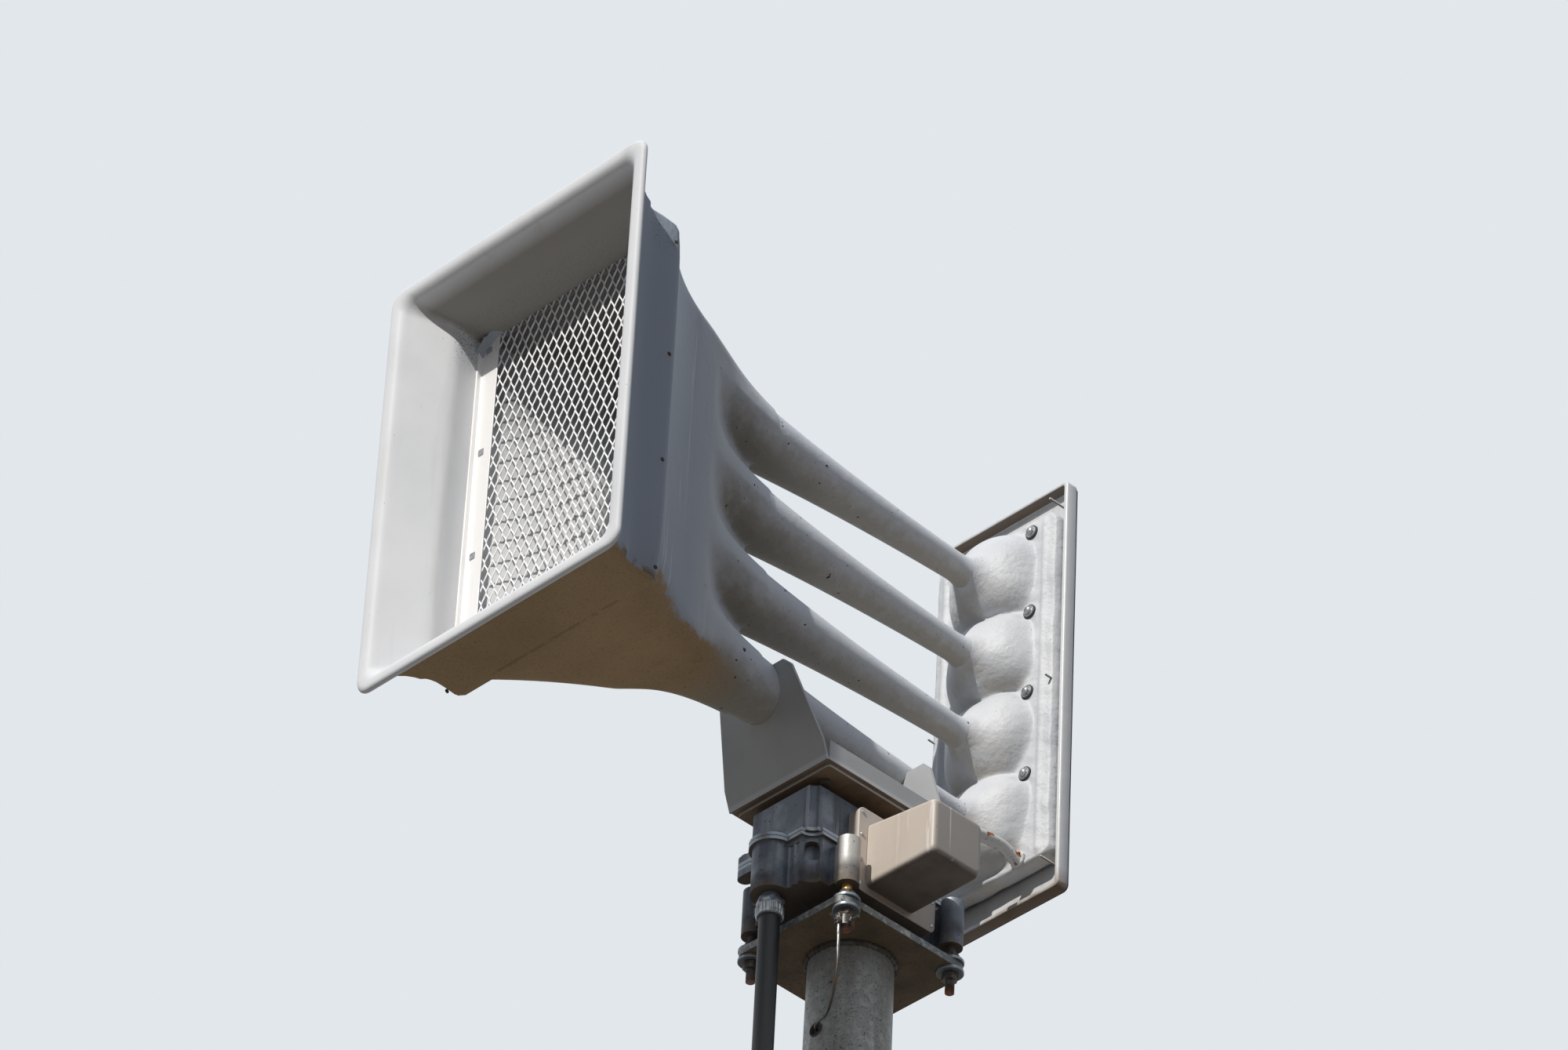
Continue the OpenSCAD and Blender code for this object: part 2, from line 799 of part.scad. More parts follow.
dome_ball_r = (dome_d * dome_d / 4 + dome_h * dome_h) / (2 * dome_h);
panel_wall = 5;
panel_corner_r = 24;
bead_r = 7;
bead_inset = 18;
bolt_x = 104;
bolt_across = 14;
bolt_h = 9;
bolt_washer_d = 26;
bolt_washer_t = 2;
tray_wall = 4;
tray_corner_r = 14;
tray_stud_d = 6;
tray_stud_inset = 60;
tray_stud_x = tray_w / 2 - 25;
cover_inset = 3;
rear_cover_t = 6;
panel_z = tube_mid_z + 4;
tray_z = tube_mid_z + 6;

module dome_cap(z, shrink) {
  intersection() {
    translate([0, dome_apex_y + dome_ball_r, z]) sphere(r = dome_ball_r - shrink);
    translate([-dome_d, dome_apex_y - past, z - dome_d])
      cube([2 * dome_d, panel_y - dome_apex_y + past + root, 2 * dome_d]);
  }
}

module panel_shape(shrink) {
  union() {
    upright_plate(
      panel_w - 2 * shrink, panel_h - 2 * shrink, panel_corner_r,
      panel_y + shrink, tray_y + tray_depth - tray_wall - panel_y - shrink, panel_z
    );
    for (i = [0 : 3]) {
      dome_cap(tube_low_z + i * tube_pitch, shrink);
    }
  }
}

module driver_panel() {
  color([0.88, 0.89, 0.90])
  difference() {
    union() {
      panel_shape(0);
      for (s = [-1, 1]) {
        bead_x = s * (panel_w / 2 - bead_inset);
        translate([bead_x, panel_y + root / 2, panel_z - panel_h / 2 + panel_corner_r])
          cylinder(r = bead_r, h = panel_h - 2 * panel_corner_r);
      }
    }
    panel_shape(panel_wall);
    for (i = [0 : 3]) {
      tube_solid(tube_low_z + i * tube_pitch, 0);
    }
  }
}

module panel_bolts() {
  color([0.6, 0.6, 0.6])
  for (s = [-1, 1], i = [0 : 3]) {
    translate([s * bolt_x, panel_y, tube_low_z + (i + 0.5) * tube_pitch]) rotate([90, 0, 0]) union() {
      cylinder(d = bolt_washer_d, h = bolt_washer_t);
      hex_prism(bolt_across, bolt_h);
    }
  }
}

// six thin studs stand in the tray beside the panel
module rear_tray() {
  floor_y = tray_y + tray_depth - tray_wall;
  color([0.90, 0.90, 0.90])
  union() {
    difference() {
      upright_plate(tray_w, tray_h, tray_corner_r, tray_y, tray_depth, tray_z);
      upright_plate(
        tray_w - 2 * tray_wall, tray_h - 2 * tray_wall, tray_corner_r - tray_wall,
        tray_y - past, tray_depth - tray_wall + past, tray_z
      );
    }
    for (s = [-1, 1], k = [-1, 0, 1]) {
      translate([s * tray_stud_x, floor_y + root / 2, tray_z + k * (tray_h / 2 - tray_stud_inset)])
        rotate([90, 0, 0]) cylinder(d = tray_stud_d, h = tray_depth - tray_wall + root / 2);
    }
  }
}

module rear_cover() {
  color([0.25, 0.26, 0.27])
  upright_plate(
    tray_w - 2 * cover_inset, tray_h - 2 * cover_inset, tray_corner_r,
    tray_y + tray_depth, rear_cover_t, tray_z
  );
}

// wire pipe: one arc from the saddle up to the panel

pipe_d = 26;
pipe_x = 90;
pipe_z = tube_low_z - 92;
pipe_low_z = saddle_z + saddle_t + 30;
pipe_low_y = saddle_rear - 20;
pipe_lean = 2 * atan2(pipe_z - pipe_low_z, panel_y - pipe_low_y);
pipe_bend_r = (panel_y - pipe_low_y) / sin(pipe_lean);

module wire_pipe_solid(grow) {
  translate([pipe_x, panel_y, pipe_z - pipe_bend_r]) rotate([90, 0, 90]) rotate([0, 0, 90])
    rotate_extrude(angle = pipe_lean) translate([pipe_bend_r, 0]) circle(d = pipe_d + 2 * grow, $fn = 48);
}

module wire_pipe() {
  color([0.88, 0.88, 0.86])
  wire_pipe_solid(0);
}

// conduit

gland_x = nose_x;
gland_y = nose_y;
gland_h = 52;
gland_body_d = 56;
gland_body_h = 30;
gland_hex = 52;
gland_hex_h = 14;
gland_neck_d = 34;
gland_bore_h = 26;
entry_reach = 120;
entry_w = 56;
entry_h = 130;
entry_cup_d = 54;
entry_cup_h = 50;
entry_cup_bore_h = 20;
joint_l = 12;
bend_r = 260;
coupling_d = conduit_d + 9;
coupling_l = 58;

function conduit_y(z) = -(pole_r(z) + conduit_d / 2 + conduit_gap);

conduit_top_z = case_z - gland_h + gland_bore_h;
conduit_foot_z = conduit_entry_z + entry_reach - entry_cup_bore_h;
// the conduit hangs straight, then two equal bends with a short length between them bring it to the pole
straight_drop = 400;
straight_z = pole_h - straight_drop;
run_top_y = conduit_y(straight_z - bend_r);
sideways = [-gland_x, run_top_y - gland_y];
bend_angle = acos((2 * bend_r - norm(sideways)) / norm([2 * bend_r, joint_l])) - atan2(joint_l, 2 * bend_r);
pole_z = straight_z - 2 * bend_r * sin(bend_angle) - joint_l * cos(bend_angle);

module conduit_gland() {
  color([0.62, 0.63, 0.62])
  translate([gland_x, gland_y, case_z - gland_h]) difference() {
    union() {
      translate([0, 0, gland_body_h - root]) hex_prism(gland_hex, gland_hex_h);
      cylinder(d = gland_body_d, h = gland_body_h);
      cylinder(d = gland_neck_d, h = gland_h);
    }
    translate([0, 0, -past]) cylinder(d = conduit_d + 2 * fine, h = gland_bore_h + past);
  }
}

// a round rod between two points
module rod(a, b, d) {
  v = b - a;
  l = norm(v);
  translate(a) rotate([0, acos(v[2] / l), atan2(v[1], v[0])]) cylinder(d = d, h = l);
}

// a quarter-turn or less of pipe that leaves the origin downwards and leans to +X
module pipe_bend(r, angle, d) {
  translate([r, 0, 0]) rotate([90, 0, 0]) rotate([0, 0, 180])
    rotate_extrude(angle = angle) translate([r, 0]) circle(d = d);
}

module coupling() {
  cylinder(d = coupling_d, h = coupling_l, center = true);
}

// each joint between two lengths lies inside a coupling
module conduit() {
  heading = atan2(sideways[1], sideways[0]);
  color([0.16, 0.17, 0.19])
  union() {
    translate([gland_x, gland_y, straight_z + joint_l])
      cylinder(d = conduit_d, h = conduit_top_z - straight_z - joint_l);
    translate([gland_x, gland_y, straight_z + joint_l / 2]) coupling();
    translate([gland_x, gland_y, straight_z]) rotate([0, 0, heading])
      pipe_bend(bend_r, bend_angle, conduit_d);
    translate([gland_x / 2, (gland_y + run_top_y) / 2, (straight_z + pole_z) / 2])
      rotate([0, 0, heading]) rotate([0, -bend_angle, 0]) coupling();
    translate([0, run_top_y, pole_z]) rotate([0, 0, heading]) rotate([0, 180, 0])
      pipe_bend(bend_r, bend_angle, conduit_d);
    translate([0, run_top_y, pole_z - joint_l / 2]) coupling();
    rod([0, conduit_y(pole_z), pole_z - joint_l], [0, conduit_y(conduit_foot_z), conduit_foot_z], conduit_d);
  }
}

// a box on the pole's side, with a cup on top that the conduit stands in
module conduit_entry() {
  y = conduit_y(conduit_foot_z);
  cup_z = conduit_entry_z + entry_reach - entry_cup_h;
  color([0.60, 0.61, 0.61])
  difference() {
    union() {
      translate([0, y, cup_z]) cylinder(d = entry_cup_d, h = entry_cup_h);
      translate([-entry_w / 2, y - entry_w / 2, cup_z - entry_h + root]) cube([entry_w, entry_w, entry_h]);
      translate([0, y, conduit_entry_z]) rotate([-90, 0, 0]) cylinder(d = entry_w - 3 * root, h = -y);
    }
    pole_outer(fine);
    translate([0, y, conduit_foot_z - fine]) cylinder(d = conduit_d + 4 * fine, h = entry_cup_h);
  }
}

strap_n = 5;
strap_t = 1.5;
strap_h = 20;
strap_block_w = 18;
strap_end_gap = 500;

module strap(i) {
  low_z = conduit_entry_z + strap_end_gap;
  z = low_z + (pole_z - strap_end_gap / 5 - low_z) * (i - 1) / (strap_n - 1);
  r = pole_r(z - strap_h / 2) + fine;
  hold_r = conduit_d / 2 + fine;
  y = conduit_y(z);
  color([0.6, 0.61, 0.62])
  translate([0, 0, z - strap_h / 2]) linear_extrude(strap_h) difference() {
    union() {
      circle(r = r + strap_t);
      translate([0, y]) circle(r = hold_r + strap_t);
      translate([0, -r - conduit_gap / 2]) square([strap_block_w, 2 * conduit_gap], center = true);
    }
    circle(r = r);
    translate([0, y]) circle(r = hold_r);
  }
}

// ground clamp and wire

clamp_h = 22;
clamp_d = 34;
clamp_jaw_w = 14;
clamp_jaw_l = 24;
clamp_z = pole_h - washer_t - nut_h - clamp_h;

// a split ring on the stud's tail, with a jaw that holds the wire
module ground_clamp() {
  color([0.42, 0.36, 0.28])
  translate([stud_pitch_x / 2, -stud_pitch_y / 2, clamp_z]) difference() {
    union() {
      cylinder(d = clamp_d, h = clamp_h);
      translate([-clamp_jaw_w / 2, -clamp_jaw_l, 0]) cube([clamp_jaw_w, clamp_jaw_l, clamp_h]);
    }
    translate([0, 0, -past]) cylinder(d = stud_d + stud_fit, h = clamp_h + 2 * past);
    translate([0, ground_wire_d - clamp_jaw_l, -past])
      cylinder(d = ground_wire_d + fine, h = clamp_h + past - fine);
  }
}

// the wire's route from the clamp down to the hole in the pole, by hand
wire_points = [
  [129, -159, -26], [129, -159, -44], [129, -159, -62], [130, -159, -76], [131, -160, -90],
  [131, -160, -104], [132, -160, -118], [132, -160, -132], [131, -160, -146], [129, -159, -160],
  [125, -157, -176], [118, -153, -189], [108, -147, -199], [95, -140, -205], [82, -132, -207],
  [70, -125, -206], [57, -119, -204], [44, -114, -201], [31, -109, -198], [18, -102, -195],
  [7, -92, -192], [1, -83, -190], [0, -76, -190]
];
wire_sides = 8;

function unit(v) = v / norm(v);

// the ring of points round the wire at route point i
function ring(i) =
  let (
    n = len(wire_points),
    t = unit(wire_points[min(i + 1, n - 1)] - wire_points[max(i - 1, 0)]),
    u = unit(cross(t, [0.3, 1, 0.1])),
    v = cross(t, u)
  )
  [for (k = [0 : wire_sides - 1]) let (a = 360 * k / wire_sides)
    wire_points[i] + ground_wire_d / 2 * (cos(a) * u + sin(a) * v)];

module ground_wire() {
  n = len(wire_points);
  m = wire_sides;
  color([0.55, 0.52, 0.47])
  translate([0, 0, pole_h]) polyhedron(
    points = [for (i = [0 : n - 1]) each ring(i)],
    faces = concat(
      [[for (k = [0 : m - 1]) k]],
      [for (i = [0 : n - 2], k = [0 : m - 1])
        [i * m + k, (i + 1) * m + k, (i + 1) * m + (k + 1) % m, i * m + (k + 1) % m]],
      [[for (k = [m - 1 : -1 : 0]) (n - 1) * m + k]]
    )
  );
}

base_plate();
pole();
handhole_cover();
pole_top_plate();
stud_node(1);  // stud_1
stud_node(2);  // stud_2
stud_node(3);  // stud_3
stud_node(4);  // stud_4
gearcase_lower();
gearcase_upper();
motor_flange();
motor_cover();
conduit_gland();
conduit();
conduit_entry();
strap(1);  // strap_1
strap(2);  // strap_2
strap(3);  // strap_3
strap(4);  // strap_4
strap(5);  // strap_5
ground_clamp();
ground_wire();
turntable();
saddle_base();
saddle_channel();
front_cradle();
rear_cradle();
saddle_bolts();
horn_rim();
horn_body();
screen_frame();
screen_half(-1);  // screen_left
screen_half(1);  // screen_right
horn_tube(1);  // tube_1
horn_tube(2);  // tube_2
horn_tube(3);  // tube_3
horn_tube(4);  // tube_4
driver_panel();
panel_bolts();
rear_tray();
rear_cover();
wire_pipe();
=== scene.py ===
# %% [markdown]
# # The siren tower, dressed
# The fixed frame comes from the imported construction. Everything here is drawn in the same place, in metres,
# with the ground at height 0, the horn's mouth towards -Y and the motor towards +X.
# Long numbers are easier to read in millimetres, so shapes are worked out in millimetres and shrunk once, when
# they are put into a mesh.

# %% Load the frame
import math

import bmesh
import bpy
import numpy as np
from mathutils import Matrix, Vector


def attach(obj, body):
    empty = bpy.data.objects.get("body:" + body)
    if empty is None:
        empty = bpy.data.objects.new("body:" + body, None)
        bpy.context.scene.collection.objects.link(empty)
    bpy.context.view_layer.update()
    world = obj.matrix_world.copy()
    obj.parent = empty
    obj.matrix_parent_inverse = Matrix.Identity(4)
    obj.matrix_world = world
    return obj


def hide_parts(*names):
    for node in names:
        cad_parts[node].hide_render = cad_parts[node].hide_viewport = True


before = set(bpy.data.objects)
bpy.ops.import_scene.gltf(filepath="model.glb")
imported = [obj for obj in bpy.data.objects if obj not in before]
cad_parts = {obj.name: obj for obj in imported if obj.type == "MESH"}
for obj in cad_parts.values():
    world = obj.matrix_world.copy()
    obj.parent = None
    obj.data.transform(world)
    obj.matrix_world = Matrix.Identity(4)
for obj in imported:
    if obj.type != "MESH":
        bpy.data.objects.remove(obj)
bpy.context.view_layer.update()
scene = bpy.context.scene
MM = 0.001
HEAD, MAST = "siren_head", "mast"


def placed(name, data):
    """A new object in the scene that shows this data."""
    made = bpy.data.objects.new(name, data)
    scene.collection.objects.link(made)
    return made


print("nodes in the frame:", len(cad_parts))

# %% [markdown]
# ## Camera
# The horn is seen from far below and to its right with a long lens, so its upright edges lean together.
# The place and the angles were fitted to the edges of the mouth, the rear panel and the pole, whose sizes are
# known from the construction. A camera's three axes are written straight into its matrix: right, up and
# backwards, each turned a little about the line of sight because the picture is not quite level.

# %% Camera
def aim(place, azimuth, pitch, roll):
    """The matrix of a camera at place. The line of sight is (sin az cos p, cos az cos p, sin p); right is
    level; both side axes are then turned by the roll about the line of sight."""
    az, p, r = np.radians([azimuth, pitch, roll])
    sight = np.array([np.sin(az) * np.cos(p), np.cos(az) * np.cos(p), np.sin(p)])
    right = np.array([np.cos(az), -np.sin(az), 0.0])
    up = np.cross(right, sight)
    turned_right = right * np.cos(r) + up * np.sin(r)
    turned_up = up * np.cos(r) - right * np.sin(r)
    m = np.eye(4)
    m[:3, 0], m[:3, 1], m[:3, 2], m[:3, 3] = turned_right, turned_up, -sight, place
    return m


camera_data = bpy.data.cameras.new("camera")
camera_data.lens, camera_data.sensor_width, camera_data.clip_end = 180, 36, 200
camera = placed("camera", camera_data)
camera.matrix_world = Matrix(aim(place=(9.003, -8.537, 1.582), azimuth=-47.32, pitch=37.82, roll=3.03).tolist())
scene.camera = camera
print("camera at", [round(v, 2) for v in camera.matrix_world.translation])

# %% [markdown]
# ## Light, floor and backdrop
# The real horn stands in low sun that comes over the camera's left shoulder: the lip and the front faces are lit,
# the side wall is in open shade and the underside is darkest. One sun lamp from there gives the same order of
# light and dark. It is as wide as the real sun, half a degree, because the edge of the shadow in the throat is
# sharp. The world fills the shade, blue and strong from above, dim and brown from below, because the ground throws
# back little. Only rays that reach the eye straight, or off something shiny, see the pale backdrop.

# %% Light, floor and backdrop
SUN_WIDTH, TOWARDS_SUN = math.radians(0.53), (0.21, -0.73, 0.62)
FLOOR_HALF = 5


def linear(r, g, b):
    """A colour written in 0 to 255 becomes linear light: c / 12.92 up to 0.04045, then ((c + 0.055) / 1.055)^2.4."""
    c = np.array([r, g, b]) / 255
    return (*np.where(c <= 0.04045, c / 12.92, ((c + 0.055) / 1.055) ** 2.4), 1.0)


def add(tree, kind, inputs=None, **settings):
    """One shader node in the tree. inputs maps a socket to a value, or to the output, or to the node whose first
    output feeds it."""
    node = tree.nodes.new("ShaderNode" + kind)
    for key, value in settings.items():
        setattr(node, key, value)
    for key, value in (inputs or {}).items():
        value = value.outputs[0] if isinstance(value, bpy.types.Node) else value
        if isinstance(value, bpy.types.NodeSocket):
            tree.links.new(value, node.inputs[key])
        else:
            node.inputs[key].default_value = value
    return node


scene.view_settings.view_transform = "Standard"
world = bpy.data.worlds.new("backdrop")
scene.world = world
world.use_nodes = True
tree = world.node_tree
tree.nodes.clear()
path = add(tree, "LightPath").outputs
seen = add(tree, "Math", {0: path["Is Camera Ray"], 1: path["Is Glossy Ray"]}, operation="MAXIMUM")
seen = add(tree, "Math", {0: seen, 1: path["Is Transmission Ray"]}, operation="MAXIMUM")
ways = add(tree, "TexCoord")
height = add(tree, "SeparateXYZ", {0: ways.outputs["Generated"]})
above = add(tree, "MapRange", {0: height.outputs["Z"], 1: -0.15, 2: 0.95})
sky_or_ground = add(tree, "Mix", {0: above, 6: linear(108, 100, 90), 7: linear(182, 199, 226)},
                    data_type="RGBA")
fill = add(tree, "Background", {"Color": sky_or_ground.outputs[2], "Strength": 0.66})
pale = add(tree, "Background", {"Color": linear(226, 231, 236), "Strength": 1.0})
mixed = add(tree, "MixShader", {0: seen, 1: fill, 2: pale})
add(tree, "OutputWorld", {0: mixed})

key_data = bpy.data.lights.new("key_lamp", "SUN")
key_data.energy, key_data.angle, key_data.color = 3.4, SUN_WIDTH, (1.0, 0.965, 0.91)
placed("key_lamp", key_data).rotation_euler = Vector(TOWARDS_SUN).to_track_quat("Z", "Y").to_euler()

floor_mesh = bpy.data.meshes.new("floor")
corners = [(x * FLOOR_HALF, y * FLOOR_HALF, 0) for x, y in ((-1, -1), (1, -1), (1, 1), (-1, 1))]
floor_mesh.from_pydata(corners, [], [(0, 1, 2, 3)])
floor = placed("floor", floor_mesh)
floor_finish = bpy.data.materials.new("pale_floor")
floor_finish.use_nodes = True
floor_shader = floor_finish.node_tree.nodes["Principled BSDF"]
floor_shader.inputs["Base Color"].default_value = linear(205, 206, 206)
floor_shader.inputs["Roughness"].default_value = 0.9
floor_mesh.materials.append(floor_finish)
print("lamps and floor are set")

# %% [markdown]
# ## Masks that the finishes share
# Weather leaves the same few marks on every part of a siren: specks, runs that follow the rain, patches, and dirt
# on faces that look down. Dirt fades out on a rounded side along a ragged line, so noise can shift its limit. The
# masks of faces that look down and of places also carry painted shade and painted sunlight, named where a finish
# uses them. One more mask takes the faces that look away from the horn's middle line, because the lip is white in
# front and blue-grey outside. Each is one node group that gives a mask from 0 to 1, and each finish mixes its own
# colours by these masks. A group is used so that one kind of mark looks alike on metal, paint and fibreglass.

# %% Masks for weather, painted shade and painted sunlight
HORN_MID = 10920


def start_mask(name, **sockets):
    """A node group with the named number sockets and a Mask output; gives its tree, its inputs and the object's
    own coordinates and normal."""
    tree = bpy.data.node_groups.new(name, "ShaderNodeTree")
    for socket, default in sockets.items():
        tree.interface.new_socket(name=socket, in_out="INPUT", socket_type="NodeSocketFloat").default_value = default
    tree.interface.new_socket(name="Mask", in_out="OUTPUT", socket_type="NodeSocketFloat")
    return tree, tree.nodes.new("NodeGroupInput").outputs, add(tree, "TexCoord").outputs


def end_mask(tree, given, value, low, high):
    """Ends a group: the mask rises from 0 to Strength as the value goes from low to high. Gives a function that
    writes one use of the group, (tree, {socket: value}), from the sockets' values in their order."""
    cut = add(tree, "MapRange", {0: value, 1: low, 2: high, 4: given["Strength"]})
    tree.links.new(cut.outputs[0], tree.nodes.new("NodeGroupOutput").inputs[0])
    names = [socket.name for socket in given if socket.name]
    return lambda *values: (tree, dict(zip(names, values)))


def noise_mask(name, stretch, detail):
    """Noise on the object's own coordinates, stretched along the height, then cut: the mask rises from 0 to 1
    as the noise goes from Level to Level + Edge. Scale is in grains to the metre."""
    tree, given, own = start_mask(name, Scale=10, Level=0.55, Edge=0.1, Strength=1)
    spread = add(tree, "Mapping", {"Vector": own["Object"], "Scale": (1, 1, stretch)})
    grain = add(tree, "TexNoise", {"Vector": spread, "Scale": given["Scale"], "Detail": detail})
    top = add(tree, "Math", {0: given["Level"], 1: given["Edge"]}, operation="ADD")
    return end_mask(tree, given, grain, given["Level"], top)


def down_mask():
    """Rises as n goes from From to To, n being the height of the face's normal plus (noise - 1/2) Ragged."""
    tree, given, own = start_mask("faces_down", From=-0.2, To=-0.9, Strength=1, Ragged=0, Grain=40)
    split = add(tree, "SeparateXYZ", {0: add(tree, "NewGeometry").outputs["Normal"]})
    grain = add(tree, "TexNoise", {"Vector": own["Object"], "Scale": given["Grain"], "Detail": 6, "Roughness": 0.65})
    centred = add(tree, "Math", {0: grain, 1: 0.5}, operation="SUBTRACT")
    moved = add(tree, "Math", {0: centred, 1: given["Ragged"], 2: split.outputs["Z"]},
                operation="MULTIPLY_ADD")
    return end_mask(tree, given, moved, given["From"], given["To"])


def out_mask():
    """Rises as a . n goes from From to To: a is the arm across the horn from its middle line, n the normal."""
    tree, given, own = start_mask("faces_out", From=0.05, To=0.15, Strength=1)
    arm = add(tree, "VectorMath", {0: own["Object"], 1: (0, 0, HORN_MID * MM)}, operation="SUBTRACT")
    arm = add(tree, "VectorMath", {0: arm, 1: (1, 0, 1)}, operation="MULTIPLY")
    along = add(tree, "VectorMath", {0: arm, 1: own["Normal"]}, operation="DOT_PRODUCT")
    return end_mask(tree, given, along.outputs["Value"], given["From"], given["To"])


def place_mask(name, axis):
    """A mask that goes from 0 to 1 as the place along one axis goes from From to To, in metres."""
    tree, given, own = start_mask(name, From=0, To=1, Strength=1)
    split = add(tree, "SeparateXYZ", {0: own["Object"]})
    return end_mask(tree, given, split.outputs[axis], given["From"], given["To"])


specks, patches, runs = noise_mask("specks", 1, 3), noise_mask("patches", 1, 5), noise_mask("rain_runs", 0.06, 4)
downward, outward = down_mask(), out_mask()
by_height, by_depth, by_side = place_mask("by_height", "Z"), place_mask("by_depth", "Y"), place_mask("by_side", "X")
print("mask groups:", [g.name for g in bpy.data.node_groups])

# %% [markdown]
# ## How a finish is put together
# A finish is one Principled shader. Its colour starts from the clean surface and takes coats: each coat is a
# colour and one or more masks that are multiplied, so that a stain can lie only on the underside and only in
# patches. The relief is two layers of noise through a Bump node, one for waviness and one for grain.

# %% Finish builder
def finish(name, colour, roughness, coats, relief=(), metallic=0.0, gloss=0.5):
    """A material: the colour, then for every coat the mix towards the coat's colour and roughness by the product
    of its masks. A coat is (colour, roughness, mask, ...). Relief is pairs of (grains to the metre, height in
    millimetres)."""
    material = bpy.data.materials.new(name)
    material.use_nodes = True
    tree = material.node_tree
    shader = tree.nodes["Principled BSDF"].inputs
    shader["Base Color"].default_value = linear(*colour)
    shader["Roughness"].default_value = roughness
    shader["Metallic"].default_value = metallic
    shader["Specular IOR Level"].default_value = gloss
    shown, rough = linear(*colour), roughness
    for coat_colour, coat_rough, *masks in coats:
        mask = None
        for group, sockets in masks:
            one = add(tree, "Group", sockets, node_tree=group)
            mask = one if mask is None else add(tree, "Math", {0: mask, 1: one}, operation="MULTIPLY")
        shown = add(tree, "Mix", {0: mask, 6: shown, 7: linear(*coat_colour)}, data_type="RGBA").outputs[2]
        rough = add(tree, "Mix", {0: mask, 2: rough, 3: coat_rough})
    tree.links.new(shown, shader["Base Color"])
    tree.links.new(rough.outputs[0], shader["Roughness"])
    where = add(tree, "TexCoord")
    under = {}
    for scale, height in relief:
        grain = add(tree, "TexNoise", {"Vector": where.outputs["Object"], "Scale": scale, "Detail": 3.0})
        bump = add(tree, "Bump", {"Height": grain, "Distance": height * MM, "Strength": 1.0, **under})
        under = {"Normal": bump}
    for socket, bump in under.items():
        tree.links.new(bump.outputs[0], shader[socket])
    return material


def put_on(material, *nodes):
    """Gives nodes of the frame, which keep their own shape, this finish."""
    for name in nodes:
        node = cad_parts[name]
        node.data.materials.clear()
        node.data.materials.append(material)

# %% [markdown]
# ## Two ways to make a surface
# Most pieces are a section carried along a path. Here every section is a rounded rectangle or a circle with the
# same number of points, so sections of different size join into one smooth skin. The second helper takes a solid
# of the frame, merges its loose triangles in a copy and lets a Bevel modifier break its sharp edges, which is what
# a casting or a bent sheet needs to catch light.

# %% Surface helpers
NO_PATH_RUNS_THIS_WAY = [0.31, 0.22, 0.93]


def dressed(name, mesh, material, body, stands_for, sharp):
    """Shades a mesh smoothly up to the sharp angle, gives it its finish and lets it ride on a body."""
    mesh.shade_smooth()
    mesh.set_sharp_from_angle(angle=math.radians(sharp))
    mesh.materials.append(material)
    made = placed(name, mesh)
    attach(made, body)
    if stands_for:
        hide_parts(*stands_for)
    return made


def piece(name, surface, material, body, stands_for=(), sharp=40, mend=True):
    """Puts a surface, (points in millimetres, faces), into a mesh object at the origin that rides on a body.
    Mending merges points that meet and turns all faces outwards."""
    points, faces = surface
    mesh = bpy.data.meshes.new(name)
    mesh.from_pydata((np.asarray(points) * MM).tolist(), [], [list(f) for f in faces])
    if mend:
        bm = bmesh.new()
        bm.from_mesh(mesh)
        bmesh.ops.remove_doubles(bm, verts=bm.verts, dist=0.02 * MM)
        bmesh.ops.recalc_face_normals(bm, faces=bm.faces)
        bm.to_mesh(mesh)
        bm.free()
    return dressed(name, mesh, material, body, stands_for, sharp)


def walled(made, thickness, offset=-1):
    """Gives an open skin a wall of this many millimetres: inwards at offset -1, half to each side at 0."""
    wall = made.modifiers.new("wall", "SOLIDIFY")
    wall.thickness, wall.offset = thickness * MM, offset


def joined(*parts):
    """Several (points, faces) as one: the faces of each part count on from the points before it."""
    points, faces, start = [], [], 0
    for p, f in parts:
        points.append(np.asarray(p, float))
        faces += [[i + start for i in face] for face in f]
        start += len(p)
    return np.vstack(points), faces


def skin(sections, ring=True, ends=False):
    """Faces over a grid of sections (sections x points x 3): point j of section i joins point j of the next.
    ring closes each section, ends fills the first and last one."""
    sections = np.asarray(sections, float)
    m, n = sections.shape[:2]
    i, j = np.meshgrid(np.arange(m - 1), np.arange(n if ring else n - 1), indexing="ij")
    a, b = (i * n + j).ravel(), (i * n + (j + 1) % n).ravel()
    faces = np.stack([a, b, b + n, a + n], 1).tolist()
    if ends:
        faces += [list(range(n))[::-1], list(range((m - 1) * n, m * n))]
    return sections.reshape(-1, 3), faces


def carried_along_y(stations, corner=8):
    """Rounded rectangles along Y: four quarter circles, with corner points each, about the inset corners. Each
    station is (half width, low, high, radius, y)."""
    half_w, low, high, radius, y = np.asarray(stations, float).T[..., None]
    a = np.linspace(0, np.pi / 2, corner)[None]
    x, z = [], []
    for quarter, (sx, sz) in enumerate(((1, 1), (-1, 1), (-1, -1), (1, -1))):
        x.append(sx * (half_w - radius) + radius * np.cos(a + quarter * np.pi / 2))
        z.append((high - radius if sz > 0 else low + radius) + radius * np.sin(a + quarter * np.pi / 2))
    return np.stack([np.hstack(x), np.repeat(y, 4 * corner, 1), np.hstack(z)], 2)


def circle(steps):
    """Angles round a full turn, without the last one, which is the first again."""
    return np.linspace(0, 2 * np.pi, steps, endpoint=False)


